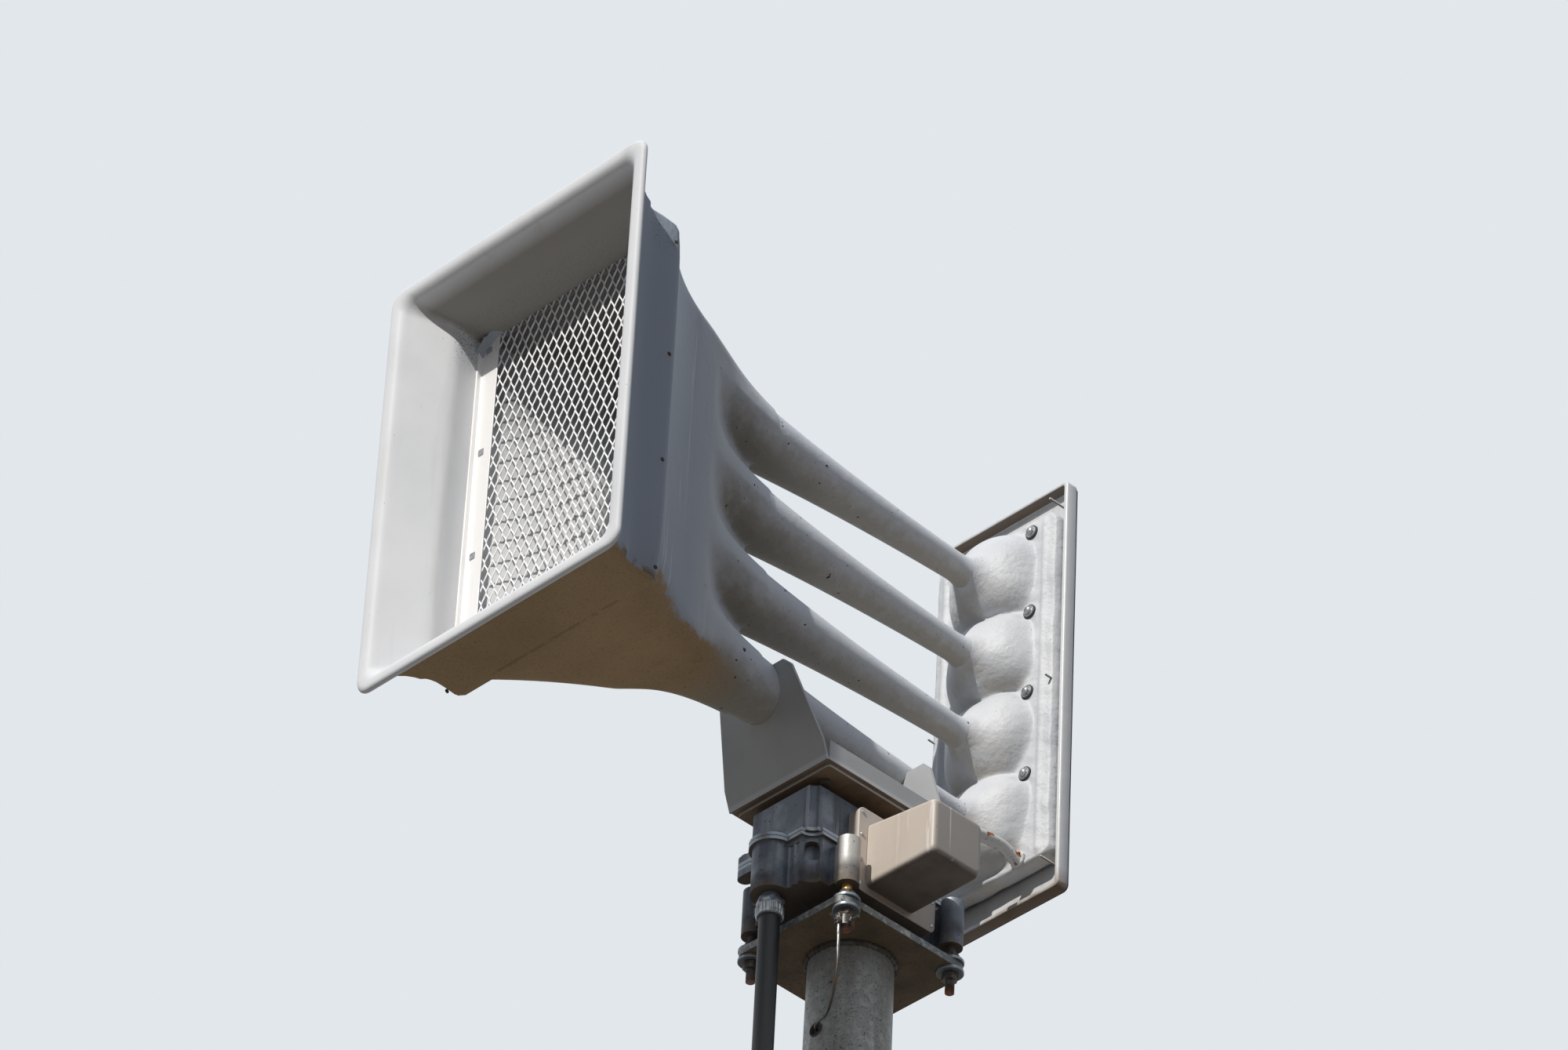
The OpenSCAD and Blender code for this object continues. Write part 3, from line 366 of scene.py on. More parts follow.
def turned(profile, place=(0, 0, 0), axis=2, sides=0, across=None, steps=48):
    """A turned piece: radius r at height h along the axis for every (r, h) of the profile. With sides, the radius
    at an angle is cut to the polygon of that many sides: across / 2 / cos(angle from the nearest flat)."""
    p = np.asarray(profile, float)
    angle = circle(steps)[None]
    r = np.repeat(p[:, :1], steps, 1)
    if sides:
        off = (angle + np.pi / sides) % (2 * np.pi / sides) - np.pi / sides
        r = np.minimum(r, across / 2 / np.cos(off))
    around = [r * np.cos(angle), r * np.sin(angle), np.repeat(p[:, 1:2], steps, 1)]
    order = {2: (0, 1, 2), 1: (1, 2, 0), 0: (2, 0, 1)}[axis]
    return skin(np.stack([around[k] for k in order], 2) + np.asarray(place, float), ends=True)


def tube_along(points, radius, steps=12):
    """A round section carried along a path: at each point the ring lies across the path's direction."""
    p = np.asarray(points, float)
    ahead = np.gradient(p, axis=0)
    ahead /= np.linalg.norm(ahead, axis=1)[:, None]
    side = np.cross(ahead, NO_PATH_RUNS_THIS_WAY)
    side /= np.linalg.norm(side, axis=1)[:, None]
    up = np.cross(side, ahead)
    a = circle(steps)[None, :, None]
    r = np.broadcast_to(np.asarray(radius, float), len(p))[:, None, None]
    rings = p[:, None] + r * (np.cos(a) * side[:, None] + np.sin(a) * up[:, None])
    return skin(rings, ends=True)


def softened(name, width, material, body, segments=2, angle=35):
    """A copy of a solid of the frame, merged, with its edges rounded by width millimetres."""
    bm = bmesh.new()
    bm.from_mesh(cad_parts[name].data)
    bmesh.ops.remove_doubles(bm, verts=bm.verts, dist=0.005 * MM)
    bmesh.ops.dissolve_limit(bm, angle_limit=math.radians(0.5), verts=bm.verts, edges=bm.edges)
    mesh = bpy.data.meshes.new(name + "_soft")
    bm.to_mesh(mesh)
    bm.free()
    made = dressed(name + "_soft", mesh, material, body, [name], angle)
    edge = made.modifiers.new("broken_edges", "BEVEL")
    edge.width, edge.segments, edge.limit_method = width * MM, segments, "ANGLE"
    edge.angle_limit, edge.harden_normals, edge.miter_outer = math.radians(angle), True, "MITER_ARC"

# %% [markdown]
# ## The ground wire
# A bare wire leaves the clamp under the near stud, swings down in front of the pole and goes in at a small hole.
# It is a limp cord held at both ends. A curve with a round bevel keeps one even thickness, and its points are the
# route of the construction, counted down from the top of the pole.

# %% Ground wire
POLE_TOP = 10150
bare_wire = finish("bare_wire", (58, 55, 52), 0.42, metallic=0.6, coats=[
    ((176, 178, 178), 0.3, by_height(10.02, 10.1)),
    ((92, 62, 44), 0.7, patches(60, 0.5))])
route = np.array([
    (129, -159, -26), (129, -159, -44), (129, -159, -62), (130, -159, -76), (131, -160, -90), (131, -160, -104),
    (132, -160, -118), (132, -160, -132), (131, -160, -146), (129, -159, -160), (125, -157, -176), (118, -153, -189),
    (108, -147, -199), (95, -140, -205), (82, -132, -207), (70, -125, -206), (57, -119, -204), (44, -114, -201),
    (31, -109, -198), (18, -102, -195), (7, -92, -192), (1, -83, -190), (0, -76, -190)], float)
route[:, 2] += POLE_TOP
wire_curve = bpy.data.curves.new("ground_wire_cord", "CURVE")
wire_curve.dimensions, wire_curve.use_fill_caps = "3D", True
wire_curve.bevel_depth, wire_curve.bevel_resolution = 3 * MM, 3
line = wire_curve.splines.new("POLY")
line.points.add(len(route) - 1)
line.points.foreach_set("co", np.hstack([route * MM, np.ones((len(route), 1))]).ravel())
line.use_smooth = True
wire_curve.materials.append(bare_wire)
ground_wire = placed("ground_wire_cord", wire_curve)
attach(ground_wire, "mast")
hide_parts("ground_wire")

# %% [markdown]
# ## Fibreglass
# The horn is moulded glass fibre with a coloured outer coat. The lip and the inside are satin white. The outside
# of the lip, the collar and the wide end of the body have weathered to blue-grey, with rain runs, pale patches
# where the coat has peeled, and specks. On the tops of the tubes the pale patches are peeled coat and painted
# sunlight. The underside has gone brown with grime. Stains are coats over the clean colour, held to faces that look
# down or to a place along the horn, because each stain has its cause there. Other coats are painted shade: grey on
# the rim's ceiling and on the top and ceiling of the throat, and darker faces in the crotches by the tube roots,
# where dirt lies too.

# %% Fibreglass finishes
lip_floor = downward(-0.3, -0.75), by_height(10.505, 10.486), by_depth(-0.975, -0.95)
lip_coat = finish("white_gelcoat", (224, 226, 229), 0.52, gloss=0.22, relief=[(7, 1.4), (160, 0.1)], coats=[
    ((208, 211, 215), 0.5, patches(5, 0.42, 0.35, 0.6)),
    ((186, 182, 172), 0.5, runs(24, 0.6, 0.15, 0.3)),
    ((150, 159, 172), 0.56, outward(), by_depth(-0.966, -0.948, 0.85)),
    ((112, 126, 138), 0.8, by_height(11.24, 11.3), by_depth(-0.9, -0.885), specks(230, 0.5, 0.12, 0.6)),
    # painted shade: the faces that look down high inside the rim, its ceiling, are made grey
    ((142, 138, 132), 0.75, downward(-0.2, -0.75, 1, 0.3), by_height(11.2, 11.33), by_depth(-0.972, -0.94, 0.9)),
    ((172, 144, 108), 0.8, downward(-0.3, -0.75), by_height(10.505, 10.486), by_depth(-0.978, -0.966, 0.96)),
    ((142, 118, 86), 0.85, *lip_floor, patches(5, 0.36, 0.5, 0.6)),
    ((92, 72, 48), 0.85, *lip_floor, specks(230, 0.55, 0.16, 0.4)),
    ((136, 108, 72), 0.85, by_height(10.506, 10.49), by_depth(-0.925, -0.9),
     downward(-0.75, -0.35), specks(45, 0.42, 0.08, 0.95)),
    ((66, 56, 44), 0.85, specks(190, 0.735, 0.04, 0.7))])
liner_coat = finish("liner_gelcoat", (222, 223, 224), 0.5, relief=[(20, 1.0)], coats=[
    ((196, 198, 200), 0.6, patches(7, 0.45, 0.3, 0.5)),
    # painted shade: the top of the throat and the faces that look down in it are made grey
    ((124, 126, 132), 0.8, by_height(11.1, 11.2, 0.75)),
    ((96, 93, 90), 0.8, downward(-0.2, -0.7, 0.9))])
wide_end, low_side = by_depth(-0.48, -0.6), by_height(10.63, 10.59)
body_floor = by_depth(-0.38, -0.5), low_side
horn_coat = finish("grey_gelcoat", (190, 193, 196), 0.52, gloss=0.4, relief=[(10, 2.4), (75, 0.7), (340, 0.22)], coats=[
    ((175, 179, 184), 0.56, patches(4.5, 0.4, 0.36, 0.7)),
    ((150, 159, 172), 0.56, by_depth(-0.5, -0.62, 0.8)),
    ((216, 218, 218), 0.6, runs(50, 0.61, 0.07, 0.5), wide_end),
    ((156, 152, 142), 0.7, runs(15, 0.58, 0.16, 0.35), wide_end),
    # pale patches on the tops of the tubes: peeled coat and painted sunlight
    ((226, 227, 226), 0.6, downward(0.3, 0.8), by_depth(-0.5, -0.34), patches(15, 0.49, 0.12, 0.8)),
    ((226, 230, 235), 0.5, by_depth(-0.46, -0.32, 0.8)),
    ((150, 138, 116), 0.8, downward(-0.35, -0.95, 0.7, 0.6), by_depth(-0.6, -0.44)),
    # darker faces that look down by the tube roots: dirt and painted shade in the crotches
    ((124, 114, 100), 0.9, downward(-0.05, -0.7, 1, 0.7), by_depth(-0.12, -0.38), by_depth(-0.62, -0.44, 0.6)),
    ((84, 76, 64), 0.9, downward(0.3, -0.5), by_depth(0.24, 0.14), by_depth(-0.58, -0.42),
     specks(110, 0.64, 0.08, 0.3)),
    ((172, 144, 109), 0.85, downward(-0.3, -0.46, 1, 0.8, 30), by_depth(-0.36, -0.5), low_side),
    ((134, 110, 78), 0.9, downward(-0.3, -0.75), *body_floor, patches(5, 0.36, 0.5, 0.7)),
    ((76, 60, 42), 0.9, downward(-0.15, -0.5, 1, 0.6), *body_floor, specks(230, 0.55, 0.16, 0.4)),
    ((130, 104, 70), 0.9, by_height(10.502, 10.494), by_depth(-0.8, -0.82), specks(50, 0.4, 0.1, 0.95)),
    ((44, 38, 34), 0.9, by_depth(-0.6, -0.4), specks(60, 0.705, 0.02, 0.95)),
    ((50, 45, 40), 0.9, specks(150, 0.735, 0.03, 0.8))])
panel_coat = finish("rough_gelcoat", (208, 210, 213), 0.5, gloss=0.35,
                    relief=[(18, 4.0), (70, 1.6), (240, 0.5)], coats=[
    ((192, 197, 203), 0.5, patches(9, 0.44, 0.3, 0.8)),
    ((186, 180, 166), 0.7, downward(-0.1, -0.8), patches(16, 0.4, 0.25, 0.7)),
    ((84, 78, 68), 0.9, specks(120, 0.72, 0.04, 0.7))])
tray_coat = finish("tray_gelcoat", (216, 218, 220), 0.34, gloss=0.5, relief=[(16, 1.4), (200, 0.2)], coats=[
    ((190, 188, 180), 0.6, runs(30, 0.54, 0.12, 0.4)),
    ((128, 106, 76), 0.8, by_height(10.5, 10.452), patches(12, 0.36, 0.25, 0.8)),
    ((96, 76, 54), 0.85, downward(-0.5, -0.9, 0.9))])
pipe_coat = finish("pipe_gelcoat", (210, 211, 208), 0.4, relief=[(90, 0.4)], coats=[
    ((150, 84, 44), 0.8, patches(30, 0.555, 0.03)),
    ((120, 110, 96), 0.7, specks(160, 0.66, 0.04, 0.7))])
print("fibreglass finishes made")

# %% [markdown]
# ## Metal, paint and plastic
# The gear case is sand-cast aluminium gone dull and patchy; the boss at its near foot is made lighter, as painted
# sunlight. The motor cover and its flange are beige paint with brown runs. The cover's end face and its bottom
# are darker, dirt and painted shade. The pole and the plates are galvanised steel, whose zinc crystals show as a
# fine mottle. The weld under the plate is dark zinc with dirt and painted shade. The nuts have rusted and the bird
# screen is bare aluminium gone pale. Old metal carries a skin of oxide that scatters light like chalk, so these
# finishes are only partly metal in the shader.

# %% Metal, paint and plastic finishes
galvanised = finish("galvanised_pole", (150, 151, 148), 0.56, metallic=0.3, relief=[(50, 0.7), (340, 0.2)], coats=[
    ((178, 178, 174), 0.5, patches(60, 0.48, 0.14, 0.6)),
    ((118, 114, 106), 0.7, runs(20, 0.5, 0.18, 0.6)),
    ((92, 88, 80), 0.8, specks(220, 0.56, 0.1, 0.6)),
    ((58, 52, 44), 0.85, specks(120, 0.66, 0.05, 0.8))])
plate_zinc = finish("galvanised_plate", (112, 114, 114), 0.55, metallic=0.3, relief=[(60, 0.8), (300, 0.3)], coats=[
    ((158, 160, 160), 0.5, patches(60, 0.5, 0.1, 0.8)),
    ((90, 74, 52), 0.85, downward(-0.3, -0.85, 0.96)),
    ((60, 49, 36), 0.9, downward(-0.3, -0.85), patches(13, 0.42, 0.3, 0.8)),
    ((58, 50, 42), 0.9, specks(130, 0.58, 0.1, 0.6))])
rusty = finish("rusty_fixing", (84, 80, 76), 0.58, metallic=0.4, relief=[(240, 0.5)], coats=[
    ((60, 50, 42), 0.8, patches(60, 0.46, 0.14, 0.8)),
    ((140, 80, 40), 0.9, by_height(10.11, 10.099), patches(70, 0.4, 0.2, 0.85))])
cast = finish("cast_aluminium", (102, 109, 120), 0.5, metallic=0.3, relief=[(34, 1.0), (260, 0.4)], coats=[
    ((160, 166, 174), 0.45, patches(13, 0.5, 0.22, 0.75)),
    ((80, 83, 88), 0.65, runs(34, 0.49, 0.14, 0.75)),
    ((172, 176, 182), 0.45, runs(60, 0.62, 0.05, 0.5)),
    ((172, 179, 188), 0.38, by_height(10.3168, 10.3178), by_height(10.3352, 10.3342)),
    ((58, 60, 64), 0.7, by_height(10.3248, 10.3255), by_height(10.3272, 10.3265)),
    # painted sunlight: the boss at the near foot is made light
    ((206, 202, 196), 0.5, by_side(0.103, 0.108), by_depth(-0.112, -0.118, 0.75)),
    ((60, 52, 44), 0.85, by_height(10.262, 10.236), patches(16, 0.36, 0.25, 0.7)),
    ((128, 108, 82), 0.85, by_height(10.226, 10.217), patches(40, 0.42, 0.2, 0.6)),
    ((70, 58, 44), 0.9, downward(-0.4, -0.85, 0.9)),
    ((52, 48, 44), 0.85, specks(150, 0.67, 0.05, 0.8))])
beige = finish("beige_paint", (203, 192, 181), 0.42, relief=[(14, 0.6), (420, 0.12)], coats=[
    ((214, 206, 196), 0.45, patches(10, 0.46, 0.3, 0.5)),
    # the end face is greyer: dirt and painted shade
    ((152, 147, 141), 0.5, by_side(0.298, 0.304, 0.85)),
    ((176, 160, 140), 0.6, runs(22, 0.54, 0.2, 0.3)),
    # the bottom is dark brown: dirt and painted shade
    ((70, 57, 44), 0.8, downward(-0.4, -0.9, 0.9)),
    ((48, 41, 34), 0.85, downward(-0.4, -0.9), patches(14, 0.46, 0.25, 0.6)),
    ((226, 224, 218), 0.6, runs(44, 0.62, 0.03, 0.75), downward(-0.9, -0.4), by_side(0.16, 0.302)),
    ((70, 60, 50), 0.85, specks(170, 0.72, 0.04, 0.8))])
saddle_paint = finish("saddle_paint", (174, 176, 177), 0.42, relief=[(18, 0.8), (300, 0.15)], coats=[
    ((190, 192, 192), 0.42, patches(6, 0.44, 0.3, 0.6)),
    ((160, 150, 130), 0.6, runs(14, 0.56, 0.2, 0.22)),
    ((214, 217, 220), 0.4, by_height(10.474, 10.468, 0.7)),
    ((108, 84, 56), 0.85, downward(-0.5, -0.92, 0.95)),
    ((72, 56, 40), 0.9, downward(-0.5, -0.92), patches(14, 0.44, 0.25, 0.7)),
    ((70, 60, 48), 0.85, specks(150, 0.74, 0.03, 0.7))])
bright = finish("bright_aluminium", (247, 246, 245), 0.4, metallic=0.15, relief=[(500, 0.05)], coats=[
    ((206, 208, 210), 0.42, runs(60, 0.58, 0.1, 0.4))])
screen_metal = finish("screen_metal", (243, 244, 245), 0.45, metallic=0.12, relief=[(600, 0.06)], coats=[
    ((176, 174, 168), 0.6, specks(60, 0.6, 0.1, 0.5))])
zinc = finish("zinc_fitting", (174, 177, 180), 0.34, metallic=0.65, relief=[(380, 0.15)], coats=[
    ((112, 108, 100), 0.6, patches(60, 0.52, 0.12, 0.7))])
# dark weld: zinc with dirt, and painted shade in the corner under the plate
weld_zinc = finish("weld_zinc", (78, 74, 68), 0.7, metallic=0.2, relief=[(150, 0.8)], coats=[
    ((54, 46, 38), 0.9, patches(40, 0.4, 0.2, 0.8))])
clamp_metal = finish("clamp_metal", (66, 62, 58), 0.4, metallic=0.5, coats=[
    ((150, 150, 148), 0.3, patches(80, 0.56, 0.05, 0.8)),
    ((126, 76, 44), 0.8, patches(60, 0.6, 0.05, 0.8))])
blue_zinc = finish("blue_grey_zinc", (132, 142, 152), 0.42, metallic=0.5, relief=[(160, 0.4)], coats=[
    ((176, 182, 188), 0.4, patches(50, 0.5, 0.12, 0.6)),
    ((74, 68, 60), 0.8, downward(-0.5, -0.9, 0.8))])
brass = finish("brass_stud", (196, 158, 96), 0.3, metallic=0.8, coats=[
    ((128, 92, 54), 0.5, patches(90, 0.5, 0.1, 0.6))])
conduit_grey = finish("conduit_grey", (22, 23, 26), 0.5, relief=[(60, 0.4), (400, 0.12)], coats=[
    ((36, 37, 40), 0.6, runs(22, 0.52, 0.18, 0.55)),
    ((38, 38, 38), 0.6, specks(150, 0.66, 0.05, 0.6))])
# dark rubber of the cover and the grommet; also the dark rings of painted shade round the panel bolts
dark_gasket = finish("dark_gasket", (50, 50, 50), 0.7, relief=[(60, 0.6), (300, 0.3)], coats=[
    ((86, 70, 50), 0.85, by_height(10.7, 10.46, 0.8), patches(12, 0.4, 0.25)),
    ((70, 72, 74), 0.7, patches(9, 0.5, 0.2, 0.5))])
print("finishes:", len(bpy.data.materials))

# %% [markdown]
# ## The horn body and its four tubes
# The body is one moulding: wide and flat-sided at the collar, narrowing by an exponential law, then opening into
# four round tubes with soft crotches between them. Sections along one line can't split from one ring into four,
# so the shape is written as a field instead: a number for every place, below 0 inside and above 0 outside. The
# field of the body and the fields of the tubes are joined by a smooth minimum, which fills the corner between
# them like a fillet of resin. A net is then drawn where the field is 0.

# %% The laws of the horn
TUBE_PITCH = 202
TUBE_Z = 10649 + TUBE_PITCH * np.arange(4)
TUBE_FRONT_Y = -560
ROOT_R, ROOT_Y = 63, -300
NARROW_R, NARROW_Y = 29, 294
FLARE_Y = 232
COLLAR_LOW, COLLAR_TOP = 10484, 11356
BODY_HALF, FULL_Y = 286, -812
WAIST, WAIST_Y = 60, -340.0
LOW_BEND_Y, DROP = -560, 62
OVERLAP = 4


def tube_radius(y):
    """29 e^(k (294 - y)^1.25): 63 mm at y = -300 and 29 mm near the domes, where it opens again by
    15 ((y - 232)/62)^2."""
    rate = np.log(ROOT_R / NARROW_R) / (NARROW_Y - ROOT_Y) ** 1.25
    flare = 15 * (np.maximum(0, y - FLARE_Y) / (NARROW_Y - FLARE_Y)) ** 2
    return NARROW_R * np.exp(rate * np.maximum(0, NARROW_Y - y) ** 1.25) + flare


def half_width(y):
    """60 e^(g (-340 - y)), no wider than 286, with g chosen to reach 286 at y = -812."""
    rate = np.log(BODY_HALF / WAIST) / (WAIST_Y - FULL_Y)
    return np.minimum(BODY_HALF, WAIST * np.exp(rate * (WAIST_Y - y)))


def top_edge(y):
    """Level with the collar up to y = -520, then a parabola down to the top tube's crown at y = -320."""
    t = np.clip((y + 320) / 200 + 1, 0, 1.3)
    crown = TUBE_Z[3] + tube_radius(WAIST_Y) - OVERLAP
    return crown + (COLLAR_TOP - crown) * (1 - t * t)


def low_edge(y):
    """A parabola from the low tube's foot at y = -340 down to y = -560, then a straight fall to the collar."""
    foot = TUBE_Z[0] - tube_radius(WAIST_Y) + OVERLAP
    t = np.clip((WAIST_Y - y) / (WAIST_Y - LOW_BEND_Y), 0, 1)
    run = np.clip((LOW_BEND_Y - y) / (LOW_BEND_Y - FULL_Y), 0, 1)
    return foot - (foot - COLLAR_LOW - DROP) * t * t - DROP * run


def step(t):
    """A smooth step: 3 t^2 - 2 t^3 between 0 and 1."""
    t = np.clip(t, 0, 1)
    return t * t * (3 - 2 * t)


print("tube radius at the root and at the dome:", tube_radius(np.array([ROOT_Y, 290.0])).round(1))

# %% The horn as a field
FILLET = 20.0


def horn_field(x, y, z):
    """Smooth minimum of the body and the four tubes. The body is a rounded rectangle at each y; between the tubes
    its width is pinched by (1 - s v): s grows towards the crotches, and v is a wave that is 0 at every tube and 1
    nearer to the tube above, so that a tube's top runs into the wall and its underside folds in sharply."""
    low, top = low_edge(y), top_edge(y)
    nearness = ((y + 545).clip(0) / 200) ** 1.15
    level = ((z - TUBE_Z[0]) / TUBE_PITCH) % 1.0
    between = (0.5 - 0.5 * np.cos(2 * np.pi * level ** 1.36)) ** 0.85 * ((z > TUBE_Z[0]) & (z < TUBE_Z[3]))
    wide = half_width(y)
    w = np.maximum(wide * (1 - nearness * between), 3.0)
    round_share = 0.427 * step((y + 900) / 90) + 0.573 * step((y + 580) / 230)
    r = np.minimum(wide * np.maximum(round_share, 0.04), w)
    h, mid = (top - low) / 2, (top + low) / 2
    qx, qz = np.abs(x) - (w - r), np.abs(z - mid) - (h - r)
    body = np.hypot(qx.clip(0), qz.clip(0)) + np.minimum(np.maximum(qx, qz), 0) - r
    field = np.maximum(body, y - WAIST_Y - 2)
    for tube_z in TUBE_Z:
        tube = np.maximum(np.hypot(x, z - tube_z) - tube_radius(y), TUBE_FRONT_Y - y)
        mix = np.clip(0.5 + 0.5 * (tube - field) / FILLET, 0, 1)
        field = tube * (1 - mix) + field * mix - FILLET * mix * (1 - mix)
    return field

# %% Drawing the net
NET_LOW, NET_HIGH, NET_SIZE = (-305, -842, 10430), (305, 296, 11370), 6.5


def surface_net(field, low, high, size):
    """Every cell of the grid whose corners differ in sign gets one point, the mean of the crossings on its edges.
    Every grid edge that crosses 0 joins the four cells round it by one face, turned to look outwards. The points
    are then pulled onto the surface: p - f grad f / |grad f|^2, four times."""
    axes = [np.arange(a, b + size, size) for a, b in zip(low, high)]
    value = field(*np.meshgrid(*axes, indexing="ij"))
    cells = np.array(value.shape) - 1
    total, count, quads = np.zeros((cells.prod(), 3)), np.zeros(cells.prod()), []
    for a in range(3):
        b, c = (a + 1) % 3, (a + 2) % 3
        v = np.transpose(value, (a, b, c))
        i, j, k = np.nonzero((v[:-1] < 0) != (v[1:] < 0))
        keep = (j > 0) & (j < v.shape[1] - 1) & (k > 0) & (k < v.shape[2] - 1)
        i, j, k = i[keep], j[keep], k[keep]
        near, far = v[i, j, k], v[i + 1, j, k]
        crossing = np.zeros((len(i), 3))
        crossing[:, a], crossing[:, b], crossing[:, c] = i + near / (near - far), j, k
        corners = []
        for dj, dk in ((-1, -1), (0, -1), (0, 0), (-1, 0)):
            cell = np.zeros((3, len(i)), int)
            cell[a], cell[b], cell[c] = i, j + dj, k + dk
            flat = np.ravel_multi_index(cell, cells)
            for axis in range(3):
                total[:, axis] += np.bincount(flat, crossing[:, axis], len(total))
            count += np.bincount(flat, minlength=len(count))
            corners.append(flat)
        face = np.stack(corners, 1)
        quads.append(np.where((near < 0)[:, None], face, face[:, ::-1]))
    quads = np.vstack(quads)
    used, quads = np.unique(quads, return_inverse=True)
    p = total[used] / count[used][:, None] * size + np.array(low, float)
    for _ in range(4):
        f = field(*p.T)
        slope = np.stack([(field(*(p + e).T) - field(*(p - e).T)) / 2 for e in np.eye(3)], 1)
        p -= np.clip(f / np.maximum((slope ** 2).sum(1), 0.05), -size, size)[:, None] * slope
    return p, quads.reshape(-1, 4)


net, quads = surface_net(horn_field, NET_LOW, NET_HIGH, NET_SIZE)
print("the net has", len(net), "points and", len(quads), "faces")

# %% [markdown]
# The net is cut into the body and the tubes where the construction parts them, so that each node of the frame
# keeps a piece of its own. The cut runs along faces of the net and the walls get their real thickness with a
# Solidify modifier, inwards, so that the outside stays where the field puts it.

# %% Horn body and tubes
middle = net[quads].mean(1)
from_top = 4 - np.clip(np.round((middle[:, 2] - TUBE_Z[0]) / TUBE_PITCH), 0, 3)
tube_number = np.where(middle[:, 1] > ROOT_Y, from_top, 0).astype(int)


def cut_out(name, number, thickness, node):
    """The faces of the net with this number, as a walled piece that stands for the node. Its open edges are
    marked sharp, so that the shading runs on smoothly from one piece to the next."""
    used, faces = np.unique(quads[tube_number == number], return_inverse=True)
    surface = net[used], faces.reshape(-1, 4)
    made = piece(name, surface, horn_coat, HEAD, [node], sharp=80, mend=False)
    mesh = made.data
    edge_of_corner = np.empty(len(mesh.loops), int)
    mesh.loops.foreach_get("edge_index", edge_of_corner)
    rim = np.bincount(edge_of_corner, minlength=len(mesh.edges)) == 1
    mesh.edges.foreach_set("use_edge_sharp", rim)
    walled(made, thickness)


cut_out("horn_shell", 0, 6, "horn_body")
for i in range(1, 5):
    cut_out(f"tube_skin_{i}", i, 4, f"tube_{i}")
print("faces in the body and in tubes 1 to 4:", np.bincount(tube_number))

# %% [markdown]
# ## The rim
# The rim is a second moulding: a thick rounded lip, a funnel that narrows to the collar, and a straight collar
# that slips over the body. Its section is one closed outline carried round a rounded rectangle, so the lip, the
# inside and the outside are one skin. The collar's sides swell, so its upright sides get points of their own,
# closer together near the corners. The square corners are pushed about a little by sine waves, as the moulded
# edge of the real collar is chipped and uneven.

# %% Rim
MOUTH_HALF, MOUTH_LOW, MOUTH_TOP = 363, 10431, 11421
RIM_CORNER, SIDE_POINTS = 12, 20


def bend(y, start, end, slope):
    """A straight run that bends into a slope: 0 up to start, slope (start - y)^2 / 2(start - end) as far as end,
    then straight on."""
    run, turn = np.maximum(start - y, 0), start - end
    return np.where(run < turn, slope * run ** 2 / (2 * turn), slope * (run - turn / 2))


def rough(points, height, length):
    """Pushes points about by a sum of three sine waves that run in different directions: a broken moulded edge."""
    p = np.asarray(points, float)
    wave = [np.sin(p @ np.array(d) * 2 * np.pi / length + s) for d, s in
            (((1, 0.3, 0.7), 0), ((-0.6, 1.4, 1.1), 2), ((0.9, -1.2, 1.9), 4))]
    return p + height / 3 * np.stack([wave[0] + wave[1], wave[1] - wave[2], wave[2] + wave[0]], -1)


def with_sides(sections, corner, count):
    """Adds count points on each upright side, closer together towards the corners as 1/2 - cos(pi t)/2."""
    t = (0.5 - 0.5 * np.cos(np.pi * np.linspace(0, 1, count + 2)[1:-1]))[None, :, None]
    arcs = [sections[:, k * corner:(k + 1) * corner] for k in range(4)]
    left, right = [arcs[a][:, -1:] * (1 - t) + arcs[b][:, :1] * t for a, b in ((1, 2), (3, 0))]
    return np.concatenate([arcs[0], arcs[1], left, arcs[2], arcs[3], right], 1)


y = np.array([-818, -824, -835, -850, -864, -878, -884, -890, -896, -903.5, -915, -930, -951])
rim_in = np.stack([265 + bend(y, -878, -903.5, 0.7125), 10490 - bend(y, -878, -903.5, 0.245),
                   11343 + bend(y, -826, -951, 0.475), 14 + 13 * ((-878 - y) / 96).clip(0), y], 1).tolist()
rim_out = [
    (311, 10473.5, 11376, 20, -940), (300, 10477.5, 11368.5, 18, -924), (293, 10480, 11362, 17, -908),
    (289.5, 10481.4, 11359, 16, -896), (279, 10482, 11358, 14, -888), (274, 10482.6, 11357.6, 12, -878),
    (272, 10483, 11357, 10, -862), (271.5, 10483.4, 11356.6, 9, -842), (271.5, 10483.6, 11356.4, 8, -818),
    (270.2, 10485, 11356.2, 8, -808), (264.6, 10487, 11355.8, 8, -800), (258, 10495, 11348, 8, -797)]
lip = [(MOUTH_HALF - inset, MOUTH_LOW + inset, MOUTH_TOP - inset, r, y) for inset, y, r in (
    (38.6, -973.6, 27), (34.8, -978.6, 28), (30.8, -982.8, 29), (26, -986, 29.5), (20, -987.8, 30), (9, -988, 33),
    (5, -987.2, 34), (2.2, -985.2, 34), (0.5, -982.4, 34), (0, -979.6, 34), (0.5, -977.2, 34), (3, -974.8, 34),
    (22, -973.6, 30), (29, -972, 28), (34, -966, 24), (38, -958, 22))]
sections = with_sides(carried_along_y(rim_out + rim_in + lip, RIM_CORNER), RIM_CORNER, SIDE_POINTS)
print("rim section has", len(sections), "stations of", sections.shape[1], "points")

